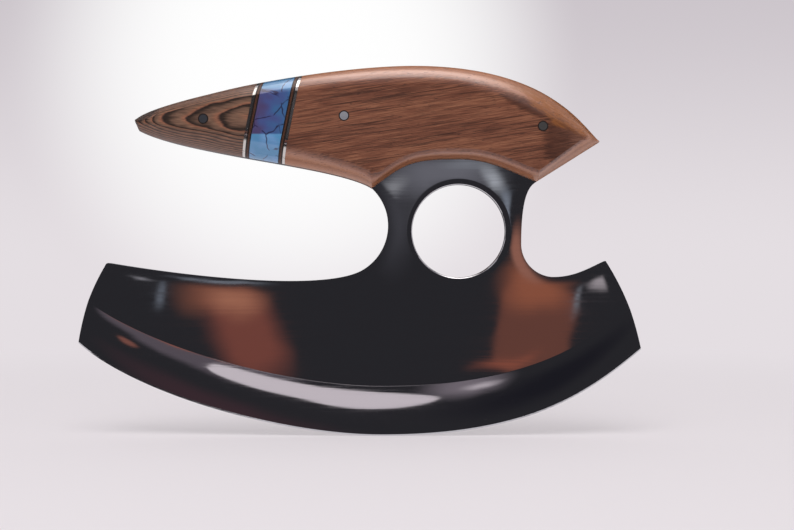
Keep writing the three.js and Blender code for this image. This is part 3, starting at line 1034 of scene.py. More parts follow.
    def heel_outline(self) -> np.ndarray:
        """Gives the open outline from the heel tip up its end, along the spine and up the neck.

        Returns:
            The points, one row each.
        """
        side = self.heel_side()
        foot = self.heel_neck - np.array([0.0, self.neck_heel_radius])
        return joined(
            side,
            self.heel_spine.between(side[-1], foot, self.heel_spine_steps),
            arc(self.heel_neck, self.neck_heel_radius, DOWN, LEFT, self.heel_neck_steps),
            self.heel_flare.between(
                self.heel_neck_side, self.heel_shoulder, self.heel_neck_steps))

    def tang_outline(self) -> np.ndarray:
        """Gives the tang's outline, which the scales cover, from the heel shoulder to the other.

        Returns:
            The points, one row each.
        """
        nose, underside, _, _, facet = self.handle_bottom(self.tang_steps)
        return joined(
            facet[::self.facet_stride], self.handle_top(self.tang_steps),
            nose[::self.nose_stride], underside)

    def toe_outline(self) -> np.ndarray:
        """Gives the open outline from the toe shoulder down the neck, the spine and the toe end.

        Returns:
            The points, one row each.
        """
        side = self.toe_side()
        neck = arc(
            self.toe_neck, self.neck_toe_radius, *self.neck_toe_angles, self.toe_neck_steps)
        spine = self.toe_spine.between(neck[-1], side[-1], self.toe_spine_steps)
        return joined(neck, spine, side[::-1])


OUTLINE = Outline()


@dataclass
class Pattern:
    """A flat pattern as it is cut: points, with their rise above the edge and gap from the hole.

    far is the rise of a point off the grind, and the gap of one off the hole's rim.
    """

    far: float
    points: list[np.ndarray] = field(default_factory=list)
    rises: list[float] = field(default_factory=list)
    gaps: list[float] = field(default_factory=list)
    faces: list[list[int]] = field(default_factory=list)

    def add(
        self,
        points: np.ndarray,
        rise: float | None = None,
        gap: float | None = None,
    ) -> list[int]:
        """Adds points.

        Args:
            points: The points, one row each.
            rise: Their rise above the edge, where they lie on the grind.
            gap: Their gap from the hole, where they lie on its rim.

        Returns:
            Their places in the list.
        """
        first = len(self.points)
        self.points.extend(points)
        self.rises.extend([self.far if rise is None else rise] * len(points))
        self.gaps.extend([self.far if gap is None else gap] * len(points))
        return list(range(first, len(self.points)))

    def skin(self, rows: list[list[int]], closed: bool = False) -> None:
        """Lays quads between rows of points.

        Args:
            rows: The places of each row's points.
            closed: Whether the rows are rings.
        """
        for low, high in zip(rows, rows[1:]):
            for at in range(len(low) - (not closed)):
                after = (at + 1) % len(low)
                self.faces.append([low[at], low[after], high[after], high[at]])

    def fill(self, loop: list[int], hole: list[int], inner: list[int]) -> None:
        """Lays triangles inside a loop, round a hole and through inner points.

        Args:
            loop: The places of the loop's points.
            hole: The places of the hole's points.
            inner: The places of the inner points.
        """
        known = loop + hole + inner
        rings = (0, len(loop)), (len(loop), len(loop) + len(hole))
        edges = [
            (at, at + 1 if at + 1 < end else start)
            for start, end in rings for at in range(start, end)]
        flat = [Vector(self.points[at]) for at in known]
        _, _, triangles, sources, _, _ = delaunay_2d_cdt(flat, edges, [], 1, TOUCHING)
        in_hole = range(*rings[1])
        for triangle in triangles:
            corners = [sources[at][0] for at in triangle]
            if not all(at in in_hole for at in corners):
                self.faces.append([known[at] for at in corners])


@dataclass
class Blade:
    """The steel: a plate with a hollow-ground edge, a finger hole, and the tang.

    Buffing has just broken the grind line, rolled the plate's faces over towards its outline, and
    dished them round the eased hole.
    """

    thickness: float = 3.2
    edge_land: float = 0.2
    micro_bevel_height: float = 0.5
    micro_bevel_thickness: float = 0.52
    grind_height: float = 15.9
    wheel_radius: float = 100.0
    grind_blend: float = 0.015
    blend_reach: float = 0.2
    hole_ease: float = 0.5
    dish_width: float = 2.0
    dish_depth: float = 0.055
    roll_width: float = 4.5
    roll_depth: float = 0.045
    # How far up the grind the roll begins, as a share, so that the edge keeps its thickness.
    roll_start: float = 0.2
    edge_steps: int = 110
    hollow_steps: int = 16
    blend_steps: int = 11
    hole_steps: int = 144
    ease_steps: int = 7
    dish_steps: int = 13
    # Rows of points that follow the outline, as shares of the roll, and a grid within them.
    roll_rows: tuple[float, ...] = (0.06, 0.14, 0.25, 0.4, 0.58, 0.78, 1.0)
    grid: float = 3.0
    grid_box: tuple[Pair, Pair] = ((-90.0, 90.0), (10.0, 95.0))
    # The share of its inset that a row keeps from the outline's other stretches.
    row_clearance: float = 0.99
    # The least gap from a point to the row above the grind, the border, the dish and the roll.
    row_gap: float = 0.02
    border_gap: float = 0.2
    dish_gap: float = 0.3
    grid_gap: float = 1.0
    crease: float = 4.0

    def grind_rows(self, sheet: Pattern) -> list[list[int]]:
        """Lays the ground strip along the edge.

        Args:
            sheet: The pattern to add to.

        Returns:
            The places of each row's points, from the edge up.
        """
        ends = [(side, OUTLINE.above_edge(side)) for side in (
            OUTLINE.toe_side(), OUTLINE.heel_side())]
        reach = np.linspace(-self.blend_reach, self.blend_reach, self.blend_steps)
        blend = self.grind_height + reach
        hollow = np.linspace(self.micro_bevel_height, blend[0], self.hollow_steps)
        rows = []
        for rise in (0.0, *hollow, *blend[1:]):
            first, last = (np.interp(rise, heights, side[:, 0]) for side, heights in ends)
            x = np.linspace(first, last, 2 * self.edge_steps + 1)
            height = OUTLINE.edge_height(x) + rise
            rows.append(sheet.add(np.stack([x, height], axis=1), rise=rise))
        sheet.skin(rows)
        return rows

    def hole_rings(self, sheet: Pattern) -> list[list[int]]:
        """Lays rings round the hole, close together on its eased rim.

        Args:
            sheet: The pattern to add to.

        Returns:
            The places of each ring's points, from the hole out.
        """
        ease = self.hole_ease * (1 - np.cos(np.linspace(0, math.pi / 2, self.ease_steps)))
        dish = np.linspace(self.hole_ease, self.dish_width, self.dish_steps)[1:]
        rings = []
        for gap in (*ease, *dish):
            ring = arc(OUTLINE.hole, OUTLINE.hole_diameter / 2 + gap, 0, 360, self.hole_steps)
            rings.append(sheet.add(ring[:-1], gap=gap))
        sheet.skin(rings, closed=True)
        return rings

    def inner_points(self, border: np.ndarray) -> np.ndarray:
        """Gives points inside the plate: rows that follow its open outline, then a coarse grid.

        Args:
            border: The closed loop round the flat of the plate.

        Returns:
            The points, one row each.
        """
        lines = OUTLINE.heel_outline(), OUTLINE.toe_outline()
        kept = []
        for line in lines:
            along = np.gradient(line, axis=0)
            inward = np.stack([-along[:, 1], along[:, 0]], axis=1)
            inward /= np.linalg.norm(along, axis=1)[:, None]
            for share in self.roll_rows:
                row = line + share * self.roll_width * inward
                # A row stops where the outline's other stretches come nearer.
                clear = np.min([distance(row, other) for other in lines], axis=0)
                kept.append(row[clear > self.row_clearance * share * self.roll_width])
        (left, right), (low, high) = self.grid_box
        x, z = np.mgrid[left:right:self.grid, low:high:self.grid]
        loose = np.stack([x.ravel(), z.ravel()], axis=1)
        clear = np.min([distance(loose, line) for line in lines], axis=0)
        kept.append(loose[clear > self.roll_width + self.grid_gap])
        points = np.concatenate(kept)
        from_hole = np.linalg.norm(points - OUTLINE.hole, axis=1) - OUTLINE.hole_diameter / 2
        inside = distance(points, border) > self.border_gap
        return points[inside & (from_hole > self.dish_width + self.dish_gap)]

    def pattern(self) -> Mesh:
        """Cuts the flat pattern, with each point's rise, gap, and inset from the open outline.

        Returns:
            A flat mesh in the steel's middle plane.
        """
        sheet = Pattern(far=2 * self.grind_height)
        rows, rings = self.grind_rows(sheet), self.hole_rings(sheet)
        lines = OUTLINE.heel_outline(), OUTLINE.toe_outline()
        top = self.grind_height + self.blend_reach + self.row_gap
        heel_up, toe_down = (line[OUTLINE.above_edge(line) > top] for line in lines)
        loop = rows[-1] + sheet.add(joined(heel_up, OUTLINE.tang_outline(), toe_down))
        border = np.array([sheet.points[at] for at in (*loop, loop[0])])
        sheet.fill(loop, rings[-1], sheet.add(self.inner_points(border)))
        points, rises = np.array(sheet.points), np.array(sheet.rises)
        gap = np.min([distance(points, line) for line in lines], axis=0)
        rolled = self.roll_width - np.minimum(self.roll_width, gap)
        inset = self.roll_width - rolled * np.clip(
            rises / self.grind_height - self.roll_start, 0, 1)
        mesh = bpy.data.meshes.new("blade_pattern")
        mesh.from_pydata([(x * MM, 0.0, z * MM) for x, z in points], [], sheet.faces)
        store(mesh, rise=rises * MM, gap=np.array(sheet.gaps) * MM, inset=inset * MM)
        with edited(mesh) as shape:
            stray = [vert for vert in shape.verts if not vert.link_faces]
            bmesh.ops.delete(shape, geom=stray, context="VERTS")
            bmesh.ops.recalc_face_normals(shape, faces=shape.faces)
            shape.faces.ensure_lookup_table()
            if shape.faces[0].normal.y > 0:
                bmesh.ops.reverse_faces(shape, faces=shape.faces)
        return mesh

    def grind_tree(self, values: dict[str, Any]) -> NodeTree:
        """Builds the nodes that give the flat pattern its ground and buffed thickness.

        Args:
            values: What the tree's inputs take, by name.

        Returns:
            The tree.
        """
        tree = new_tree("hollow_grind", values)
        add = partial(add_node, tree)
        given = add("NodeGroupInput").outputs
        rise, gap, inset, half = (
            add("GeometryNodeInputNamedAttribute", {"Name": name}, data_type="FLOAT")
            for name in ("rise", "gap", "inset", "half"))

        # The hollow grind, between the micro bevel and the plate.
        half_plate, half_bevel, half_land = (
            add("Math", {0: given[name], 1: 0.5}, operation="MULTIPLY")
            for name in ("Plate Thickness", "Bevel Thickness", "Edge Land"))
        micro = add("MapRange", {
            "Value": rise, FROM: (0.0, given["Bevel Height"]), TO: (half_land, half_bevel)})
        along = add("MapRange", {
            "Value": rise, FROM: (given["Bevel Height"], given["Grind Height"])}, clamp=False)
        beyond = add("Math", {0: along, 1: 0.0}, operation="MAXIMUM")
        wedge = add("MapRange", {"Value": beyond, TO: (half_bevel, half_plate)}, clamp=False)
        width = add("Math", {0: given["Grind Height"], 1: given["Bevel Height"]},
                    operation="SUBTRACT")
        square = add("Math", {0: width, 1: width}, operation="MULTIPLY")
        across = add("Math", {0: given["Wheel Radius"], 1: 2.0}, operation="MULTIPLY")
        sag = add("Math", {0: square, 1: across}, operation="DIVIDE")
        rest = add("Math", {0: 1.0, 1: beyond}, operation="SUBTRACT")
        bow = add("Math", {0: beyond, 1: rest}, operation="MULTIPLY")
        sunk = add("Math", {0: sag, 1: bow}, operation="MULTIPLY")
        hollow = add("Math", {0: wedge, 1: sunk}, operation="SUBTRACT")
        blended = add("Math", {0: hollow, 1: half_plate, 2: given["Grind Blend"]},
                      operation="SMOOTH_MIN")
        short = add("Math", {0: half_bevel, 1: micro}, operation="SUBTRACT")
        ground = add("Math", {0: blended, 1: short}, operation="SUBTRACT")

        # What the buff has taken off the hole's rim, the dish round it and the outline.
        ease = given["Hole Ease"]
        inward = add("Math", {0: ease, 1: gap}, operation="SUBTRACT")
        inner = add("Math", {0: inward, 1: 0.0}, operation="MAXIMUM")
        inner_square = add("Math", {0: inner, 1: inner}, operation="MULTIPLY")
        ease_square = add("Math", {0: ease, 1: ease}, operation="MULTIPLY")
        chord = add("Math", {0: ease_square, 1: inner_square}, operation="SUBTRACT")
        room = add("Math", {0: chord, 1: 0.0}, operation="MAXIMUM")
        reached = add("Math", {0: room}, operation="SQRT")
        eased = add("Math", {0: ease, 1: reached}, operation="SUBTRACT")
        dished = add("MapRange", {
            "Value": gap, FROM: (0.0, given["Dish Width"]), TO: (given["Dish Depth"], 0.0)},
            interpolation_type="SMOOTHSTEP")
        near = add("MapRange", {"Value": inset, FROM: (0.0, given["Roll Width"]), TO: (1.0, 0.0)})
        rolled = add("Math", {0: near, 1: near}, operation="MULTIPLY")
        lost = add("Math", {0: rolled, 1: given["Roll Depth"], 2: dished}, operation="MULTIPLY_ADD")
        buffed = add("Math", {0: eased, 1: lost}, operation="ADD")
        left = add("Math", {0: ground, 1: buffed}, operation="SUBTRACT")

        # The two faces, and the walls between their borders.
        stored = add("GeometryNodeStoreNamedAttribute", {
            "Geometry": given["Geometry"], "Name": "half", "Value": left}, data_type="FLOAT")
        to_front, to_rear, through = (
            add("CombineXYZ", {"Y": add("Math", {0: half, 1: times}, operation="MULTIPLY")})
            for times in (-1.0, 1.0, 2.0))
        front, rear = (
            add("GeometryNodeSetPosition", {"Geometry": stored, "Offset": offset})
            for offset in (to_front, to_rear))
        turned = add("GeometryNodeFlipFaces", {"Mesh": rear})
        beside = add("GeometryNodeInputMeshEdgeNeighbors")
        border = add("FunctionNodeCompare", {2: beside, 3: 1}, data_type="INT", operation="EQUAL")
        walls = add("GeometryNodeExtrudeMesh", {
            "Mesh": front, "Selection": border, "Offset Scale": 0.0}, mode="EDGES").outputs
        closed = add("GeometryNodeSetPosition", {
            "Geometry": walls["Mesh"], "Selection": walls["Top"], "Offset": through})
        whole = add("GeometryNodeJoinGeometry", {0: closed})
        connect(tree, whole, {0: turned})
        merged = add("GeometryNodeMergeByDistance", {"Geometry": whole, "Distance": TOUCHING})
        real = add("GeometryNodeRealizeInstances", {0: merged})
        dressed = add("GeometryNodeSetMaterial", {"Geometry": real, "Material": given["Steel"]})
        add("NodeGroupOutput", {0: dressed})
        return tree

    def build(self) -> Mesh:
        """Grinds the pattern and sets which edges are crisp.

        Returns:
            The blade's mesh, closed and in place.
        """
        sizes = {
            "Plate Thickness": self.thickness, "Edge Land": self.edge_land,
            "Bevel Height": self.micro_bevel_height,
            "Bevel Thickness": self.micro_bevel_thickness, "Grind Height": self.grind_height,
            "Wheel Radius": self.wheel_radius, "Grind Blend": self.grind_blend,
            "Hole Ease": self.hole_ease, "Dish Width": self.dish_width,
            "Dish Depth": self.dish_depth, "Roll Width": self.roll_width,
            "Roll Depth": self.roll_depth}
        values: dict[str, Any] = {name: size * MM for name, size in sizes.items()}
        values["Steel"] = FINISHES[Slot.STEEL].material()
        mesh = mesh_from_tree(self.pattern(), self.grind_tree(values), values)
        smooth_under(mesh, self.crease)
        return mesh

    def dress(self) -> None:
        """Makes the ground plate the blade piece."""
        finish_piece("blade_plate", self.build(), Slot.STEEL, ("blade",))


@dataclass(frozen=True)
class Layer:
    """One sawn layer of the spacer stack."""

    name: str
    thickness: float
    slot: Slot


@dataclass(frozen=True)
class Station:
    """The rounded edges and the thickness of a scale at one place along the handle.

    fullness is how far the lower edge bulges, from 0 for a flat chamfer to 1 for a round.
    """

    x: float
    top_round: float
    low_round: float
    depth: float
    fullness: float


@dataclass
class Handle:
    """The scales and the spacer stack on both sides of the tang."""

    foot: float = 1.65
    glue_line: float = 0.05
    round_depth: float = 6.5
    round_land: float = 0.4
    top_fullness: float = 0.55
    flat_share: float = 0.15
    tip_land: float = 0.3
    blend: float = 1.2
    stack_from_nose: float = 33.9
    stack_tilt: float = 11.5
    round_steps: int = 10
    flat_steps: int = 12
    blend_steps: int = 7
    lean_passes: int = 24
    outline_steps: int = 600
    # Cross-sections along each piece, and along the main scale from station to station.
    tip_sections: int = 49
    inlay_sections: int = 13
    spacer_sections: int = 3
    main_sections: tuple[int, ...] = (40, 6, 40, 36, 26, 14)
    crease: float = 30.0
    layers: tuple[Layer, ...] = (
        Layer("tip_silver_spacer", 0.8, Slot.SILVER),
        Layer("tip_outer_black_spacer", 0.35, Slot.BLACK),
        Layer("tip_brown_spacer", 0.5, Slot.BROWN),
        Layer("tip_inner_black_spacer", 0.3, Slot.BLACK),
        Layer("inlay", 9.1, Slot.STONE),
        Layer("main_inner_black_spacer", 0.3, Slot.BLACK),
        Layer("main_brown_spacer", 0.5, Slot.BROWN),
        Layer("main_outer_black_spacer", 0.35, Slot.BLACK),
        Layer("main_silver_spacer", 0.8, Slot.SILVER),
    )

    @cached_property
    def stack_x(self) -> float:
        """Where the foot of the stack stands on the underside."""
        return OUTLINE.nose[0] + self.stack_from_nose

    @cached_property
    def stations(self) -> tuple[Station, ...]:
        """The measured stations, from nose to heel."""
        shoulder = OUTLINE.toe_shoulder[0]
        return (
            Station(OUTLINE.nose[0], 2.4, 3.6, 2.4, 0.6),
            Station(OUTLINE.nose[0] + 8.0, 2.85, 4.52, 5.4, 0.6),
            Station(self.stack_x, 4.3, 7.5, 8.0, 0.6),
            Station(shoulder, 5.2, 4.8, 8.0, 0.6),
            Station(shoulder + 2.0, 5.2, 2.6, 8.0, 0.6),
            Station(OUTLINE.arch_crown[0], 5.4, 2.6, 8.0, 0.6),
            Station(OUTLINE.heel_shoulder[0], 8.0, 3.0, 8.0, 0.35),
            Station(OUTLINE.heel_point[0] - 5.0, 5.4, 4.49, 7.0, 0.35),
            Station(OUTLINE.heel_point[0], 4.5, 5.0, 2.6, 0.35),
        )

    @cached_property
    def outlines(self) -> tuple[np.ndarray, np.ndarray]:
        """The handle's lower and upper outlines from nose to heel, finely stepped."""
        bottom = np.concatenate(OUTLINE.handle_bottom(self.outline_steps))
        return bottom, OUTLINE.handle_top(2 * self.outline_steps)[::-1]

    def at(self, size: str, x: np.ndarray) -> np.ndarray:
        """Reads one size of the stations at places along the handle, blended over each station.

        Args:
            size: The name of the size.
            x: The places.

        Returns:
            The size at each place.
        """
        places = [station.x for station in self.stations]
        sizes = [getattr(station, size) for station in self.stations]
        steps = np.linspace(-self.blend, self.blend, self.blend_steps)
        return np.mean([np.interp(x + step, places, sizes) for step in steps], axis=0)

    def section(self, x: np.ndarray) -> tuple[np.ndarray, np.ndarray]:
        """Gives the points of cross-sections of a scale.

        Args:
            x: The place along the handle of each point, one row for each section.

        Returns:
            The distances out from the tang, and the heights, in the shape of x.
        """
        bottom, top = (np.interp(x, line[:, 0], line[:, 1]) for line in self.outlines)
        depth, low, high = (self.at(size, x) for size in ("depth", "low_round", "top_round"))
        fit = np.minimum(1.0, (top - bottom) * (1 - self.flat_share) / (low + high))
        low, high = low * fit, high * fit
        drop = np.minimum(self.round_depth, depth - self.round_land)
        fullness = self.at("fullness", x)
        out, height = np.zeros_like(x), np.empty_like(x)
        height[:, 0], height[:, -1] = bottom[:, 0], top[:, -1]
        turn = np.linspace(0, math.pi / 2, self.round_steps + 1)
        for step, angle in enumerate(turn):
            share = step / self.round_steps
            full = np.array([math.sin(angle), 1 - math.cos(angle)])
            at = 1 + step
            bulge = fullness[:, at, None]
            out_share, rise_share = (bulge * full + (1 - bulge) * share).T
            out[:, at] = depth[:, at] - drop[:, at] * (1 - out_share)
            height[:, at] = bottom[:, at] + low[:, at] * rise_share
            at = x.shape[1] - 2 - step
            out_share, rise_share = self.top_fullness * full + (1 - self.top_fullness) * share
            out[:, at] = depth[:, at] - drop[:, at] * (1 - out_share)
            height[:, at] = top[:, at] - high[:, at] * rise_share
        for step in range(1, self.flat_steps):
            at = 1 + self.round_steps + step
            share = step / self.flat_steps
            out[:, at] = depth[:, at]
            height[:, at] = (bottom + low)[:, at] * (1 - share) + (top - high)[:, at] * share
        return out, height

    def loft(self, starts: np.ndarray, leans: np.ndarray) -> np.ndarray:
        """Sweeps cross-sections that may lean with the stack.

        Args:
            starts: Where each section stands at the height of the stack's foot.
            leans: How far each section leans, from 0 for upright to 1 for the stack's tilt.

        Returns:
            Points by section and place round it, as x, distance from the middle plane, and height.
        """
        # Two rounds, the flat between them, and a foot at each end.
        count = 2 * (self.round_steps + 1) + (self.flat_steps - 1) + 2
        base = np.repeat(starts[:, None], count, axis=1)
        lean = leans[:, None] * math.tan(math.radians(self.stack_tilt))
        foot_height = np.interp(self.stack_x, self.outlines[0][:, 0], self.outlines[0][:, 1])
        limits = OUTLINE.nose[0] + self.tip_land, OUTLINE.heel_point[0] - self.tip_land
        x = base
        # A section's lean depends on its heights, and they on its lean: settled in a few passes.
        for _ in range(self.lean_passes):
            out, height = self.section(x)
            x = np.clip(base + lean * (height - foot_height), *limits)
        return np.stack([x, out + self.foot, height], axis=2)

    def mesh(self, name: str, points: np.ndarray, side: Side) -> Mesh:
        """Skins a sweep and closes its ends.

        Args:
            name: The mesh's name.
            points: The sweep's points.
            side: The face of the knife that it lies on.

        Returns:
            The closed mesh.
        """
        sections, count, _ = points.shape
        placed = points.reshape(-1, 3) * np.array([1, side.value, 1]) * MM
        faces = [list(range(count)), list(range((sections - 1) * count, sections * count))]
        for row in range(sections - 1):
            for step in range(count):
                a, b = row * count + step, row * count + (step + 1) % count
                faces.append([a, b, b + count, a + count])
        mesh = bpy.data.meshes.new(name)
        mesh.from_pydata(placed.tolist(), [], faces)
        smooth_under(mesh, self.crease)
        return mesh

    def sweeps(self) -> dict[str, tuple[Slot, np.ndarray]]:
        """Sweeps every piece of one side.

        Returns:
            For each piece's name, its slot and its points.
        """
        across = math.cos(math.radians(self.stack_tilt))
        share = np.linspace(0, 1, self.tip_sections)
        start = OUTLINE.nose[0] + self.tip_land
        sawn = -self.glue_line
        tip = start + share * (self.stack_x + sawn / across - start)
        made = {"tip_scale": (Slot.TIP_WOOD, self.loft(tip, share))}
        sawn = 0.0
        for layer in self.layers:
            stone = layer.slot is Slot.STONE
            steps = self.inlay_sections if stone else self.spacer_sections
            ends = self.stack_x + np.array([sawn, sawn + layer.thickness]) / across
            made[layer.name] = layer.slot, self.loft(np.linspace(*ends, steps), np.ones(steps))
            sawn += layer.thickness + self.glue_line
        first = self.stack_x + sawn / across
        beyond = [station.x for station in self.stations if station.x > self.stack_x]
        stops = [first, *beyond[:-1], OUTLINE.heel_point[0] - self.tip_land]
        main = np.concatenate([
            np.linspace(a, b, steps, endpoint=False)
            for a, b, steps in zip(stops, stops[1:], self.main_sections)] + [[stops[-1]]])
        leans = np.clip((stops[1] - main) / (stops[1] - stops[0]), 0, 1)
        made["main_scale"] = Slot.MAIN_WOOD, self.loft(main, leans)
        return made

    def dress(self) -> None:
        """Makes the pieces of both sides."""
        for name, (slot, points) in self.sweeps().items():
            for side in Side:
                node = f"{side.name.lower()}_{name}"
                finish_piece(f"{node}_piece", self.mesh(node, points, side), slot, (node,))


@dataclass
class Pins:
    """Three steel pins that go right through both scales and the tang, filed flush."""

    handle: Handle
    diameter: float = 3.2
    glue_line: float = 0.3
    proud: float = 0.01
    sides: int = 48
    rings: int = 3
    slope_reach: float = 0.5
    crease: float = 30.0

    def pin_tree(self, values: dict[str, Any]) -> NodeTree:
        """Builds the nodes that set a pin at each point and file its ends to the scale.

        Args:
            values: What the tree's inputs take, by name.

        Returns:
            The tree.
        """
        tree = new_tree("through_pins", values)
        add = partial(add_node, tree)
        given = add("NodeGroupInput").outputs
        # A bar from -1 to 1, which its length at each point then stretches.
        bar = add("GeometryNodeMeshCylinder", {
            "Vertices": given["Sides"], "Fill Segments": given["Rings"],
            "Radius": given["Radius"], "Depth": 2.0})
        lying = add("GeometryNodeTransform", {"Geometry": bar, "Rotation": (math.pi / 2, 0.0, 0.0)})
        placed = add("GeometryNodeInstanceOnPoints", {
            "Points": given["Geometry"], "Instance": lying})
        real = add("GeometryNodeRealizeInstances", {0: placed})
        half, slope, centre = (
            add("GeometryNodeInputNamedAttribute", {"Name": name}, data_type="FLOAT")
            for name in ("half", "slope", "centre"))
        where = add("SeparateXYZ", {0: add("GeometryNodeInputPosition")}).outputs
        run = add("Math", {0: where["X"], 1: centre}, operation="SUBTRACT")
        length = add("Math", {0: run, 1: slope, 2: half}, operation="MULTIPLY_ADD")
        filed = add("Math", {0: where["Y"], 1: length}, operation="MULTIPLY")
        spot = add("CombineXYZ", {"X": where["X"], "Y": filed, "Z": where["Z"]})
        flush = add("GeometryNodeSetPosition", {"Geometry": real, "Position": spot})
        whole = add("GeometryNodeRealizeInstances", {0: flush})
        dressed = add("GeometryNodeSetMaterial", {"Geometry": whole, "Material": given["Steel"]})
        add("NodeGroupOutput", {0: dressed})
        return tree

    def build(self) -> Mesh:
        """Sets the pins where the frame has them.

        Returns:
            The mesh of all three, in place.
        """
        centres = pin_centres()
        places = np.array([centre.x for centre in centres]) / MM
        before, here, after = (
            self.handle.at("depth", places + step)
            for step in (-self.slope_reach, 0.0, self.slope_reach))
        mesh = bpy.data.meshes.new("pin_places")
        mesh.from_pydata([(centre.x, 0.0, centre.z) for centre in centres], [], [])
        store(
            mesh, half=(self.handle.foot + here + self.proud) * MM,
            slope=(after - before) / (2 * self.slope_reach), centre=places * MM)
        values = {
            "Radius": (self.diameter / 2 - self.glue_line) * MM, "Sides": self.sides,
            "Rings": self.rings, "Steel": FINISHES[Slot.STEEL].material()}
        pins = mesh_from_tree(mesh, self.pin_tree(values), values)
        smooth_under(pins, self.crease)
        return pins

    def dress(self) -> None:
        """Makes the pins one piece."""
        finish_piece("through_pins", self.build(), Slot.STEEL, PIN_NODES)


@dataclass(frozen=True)
class Patch:
    """A soft-edged lighter or darker place on a card.

    edge is how much of it fades. square is 2 for an oval, and more for a rounded box. lean turns
    it, in degrees.
    """

    centre: Pair
    half_size: Pair
    colour: str
    edge: float = 0.5
    square: float = 2.0
    lean: float = 0.0


@dataclass(frozen=True)
class Card:
    """A flat card beside the knife that only reflections see."""

    name: str
    corners: tuple[Triple, ...]
    colour: str
    strength: float = 1.0
    patches: tuple[Patch, ...] = ()


@dataclass(frozen=True)
class Lamp:
    """A round soft lamp, with its power in watts, that the diffuse surfaces alone see."""

    name: str
    place: Triple
    target: Triple
    diameter: float
    power: float


# What the polished front faces: a dark card with two plain warm panels and some grey streaks, pale
# along its foot for the bevel.
FRONT_CARD = Card(
    "front_card",
    ((-1500, -460, -420), (1500, -460, -420), (1500, -460, 330), (-1500, -460, 330)),
    "#302f33",
    patches=(
        # The foot that the bevel sees
        Patch((-215, -174), (150, 56), "#655c64", 0.35, 3.0),
        Patch((-120, -58), (140, 42), "#46343a", 0.9),
        Patch((160, -110), (150, 52), "#232229", 0.8),
        Patch((84, -172), (62, 40), "#857b83", 0.8),
        Patch((-94, -152), (70, 20), "#e8dce1", 0.06, 3.0, 3.0),
        Patch((-28, -152), (82, 24), "#e8dce1", 0.06, 1.7, -1.0),
        Patch((97, -164), (30, 12), "#d0c4ca", 0.9, 2.0, -6.0),
        Patch((-232, -104), (14, 11), "#8c5a50", 0.6),
        Patch((-212, -160), (104, 4.5), "#a8634f", 0.6, 2.0, 12.0),
        # The left warm panel and its streaks
        Patch((-108, 34), (40, 20), "#865546", 0.7, 3.0),
        Patch((-89, 6), (29, 46), "#864e44", 0.6, 3.0, -28.0),
        Patch((-99, 30), (28, 18), "#bb7b62", 1.0),
        Patch((-148, 36), (4, 16), "#70757f", 0.9, 2.0, 12.0),
        Patch((-159, 49), (12, 4), "#8d8a90", 1.0, 2.0, 20.0),
        Patch((-106, 55), (44, 4), "#868b95", 0.9, 3.0, 3.0),
        # The right warm panel and its streaks
        Patch((104, 12), (28, 36), "#754a40", 0.2, 4.0, 8.0),
        Patch((105, 40), (30, 22), "#a3614a", 0.7, 4.0),
        Patch((86, -11), (32, 6), "#9c5948", 0.9, 2.0, -12.0),
        Patch((104, 62), (14, 24), "#a8705f", 0.7, 3.0, 6.0),
        Patch((132, 32), (2.5, 18), "#7d7e85", 0.9, 3.0, 14.0),
        Patch((147, 43), (10, 9), "#b4aaae", 0.8, 4.0),
        # Over the hole
        Patch((8, 84), (26, 46), "#4b4a50", 1.0),
        Patch((32, 90), (22, 26), "#504f54", 1.0),
        Patch((42, 114), (50, 20), "#78777f", 0.8, 3.0),
        Patch((10, 108), (14, 8), "#97979c", 1.0, 2.0, -25.0),
        Patch((58, 122), (26, 8), "#8c8e96", 1.0),
        Patch((75, 110), (8, 18), "#bcbfc6", 1.0, 3.0, -20.0),
        Patch((84, 92), (6, 18), "#8a909c", 0.9, 2.0, -10.0),
        # What the pins' ends see
        Patch((-24, 160), (28, 16), "#a4a2a8", 0.3, 4.0),
        Patch((-211, 156), (34, 20), "#45454a", 0.3, 4.0),
        Patch((180, 150), (30, 20), "#524f4e", 0.3, 4.0),
    ),
)
REAR_CARD = Card(
    "rear_card",
    ((-1500, 620, -240), (1500, 620, -240), (1500, 620, 760), (-1500, 620, 760)),
    "#2c2f31",
    patches=(
        Patch((0, -240), (420, 110), "#cfc9ce", 0.2, 3.0),
        Patch((-200, 120), (260, 130), "#8a8b90", 0.9),
        Patch((180, 20), (90, 60), "#6a4a40", 0.8, 3.0),
    ),
)
# The sheen on the handle's upper edges.
OVERHEAD_CARD = Card(
    "overhead_card",
    ((-600, -260, 760), (600, -260, 760), (600, 90, 760), (-600, 430, 760)),
    "#000000",
    strength=5.2,
    patches=(Patch((75, 760), (390, 1e4), "#fff8f6", 0.75),),
)


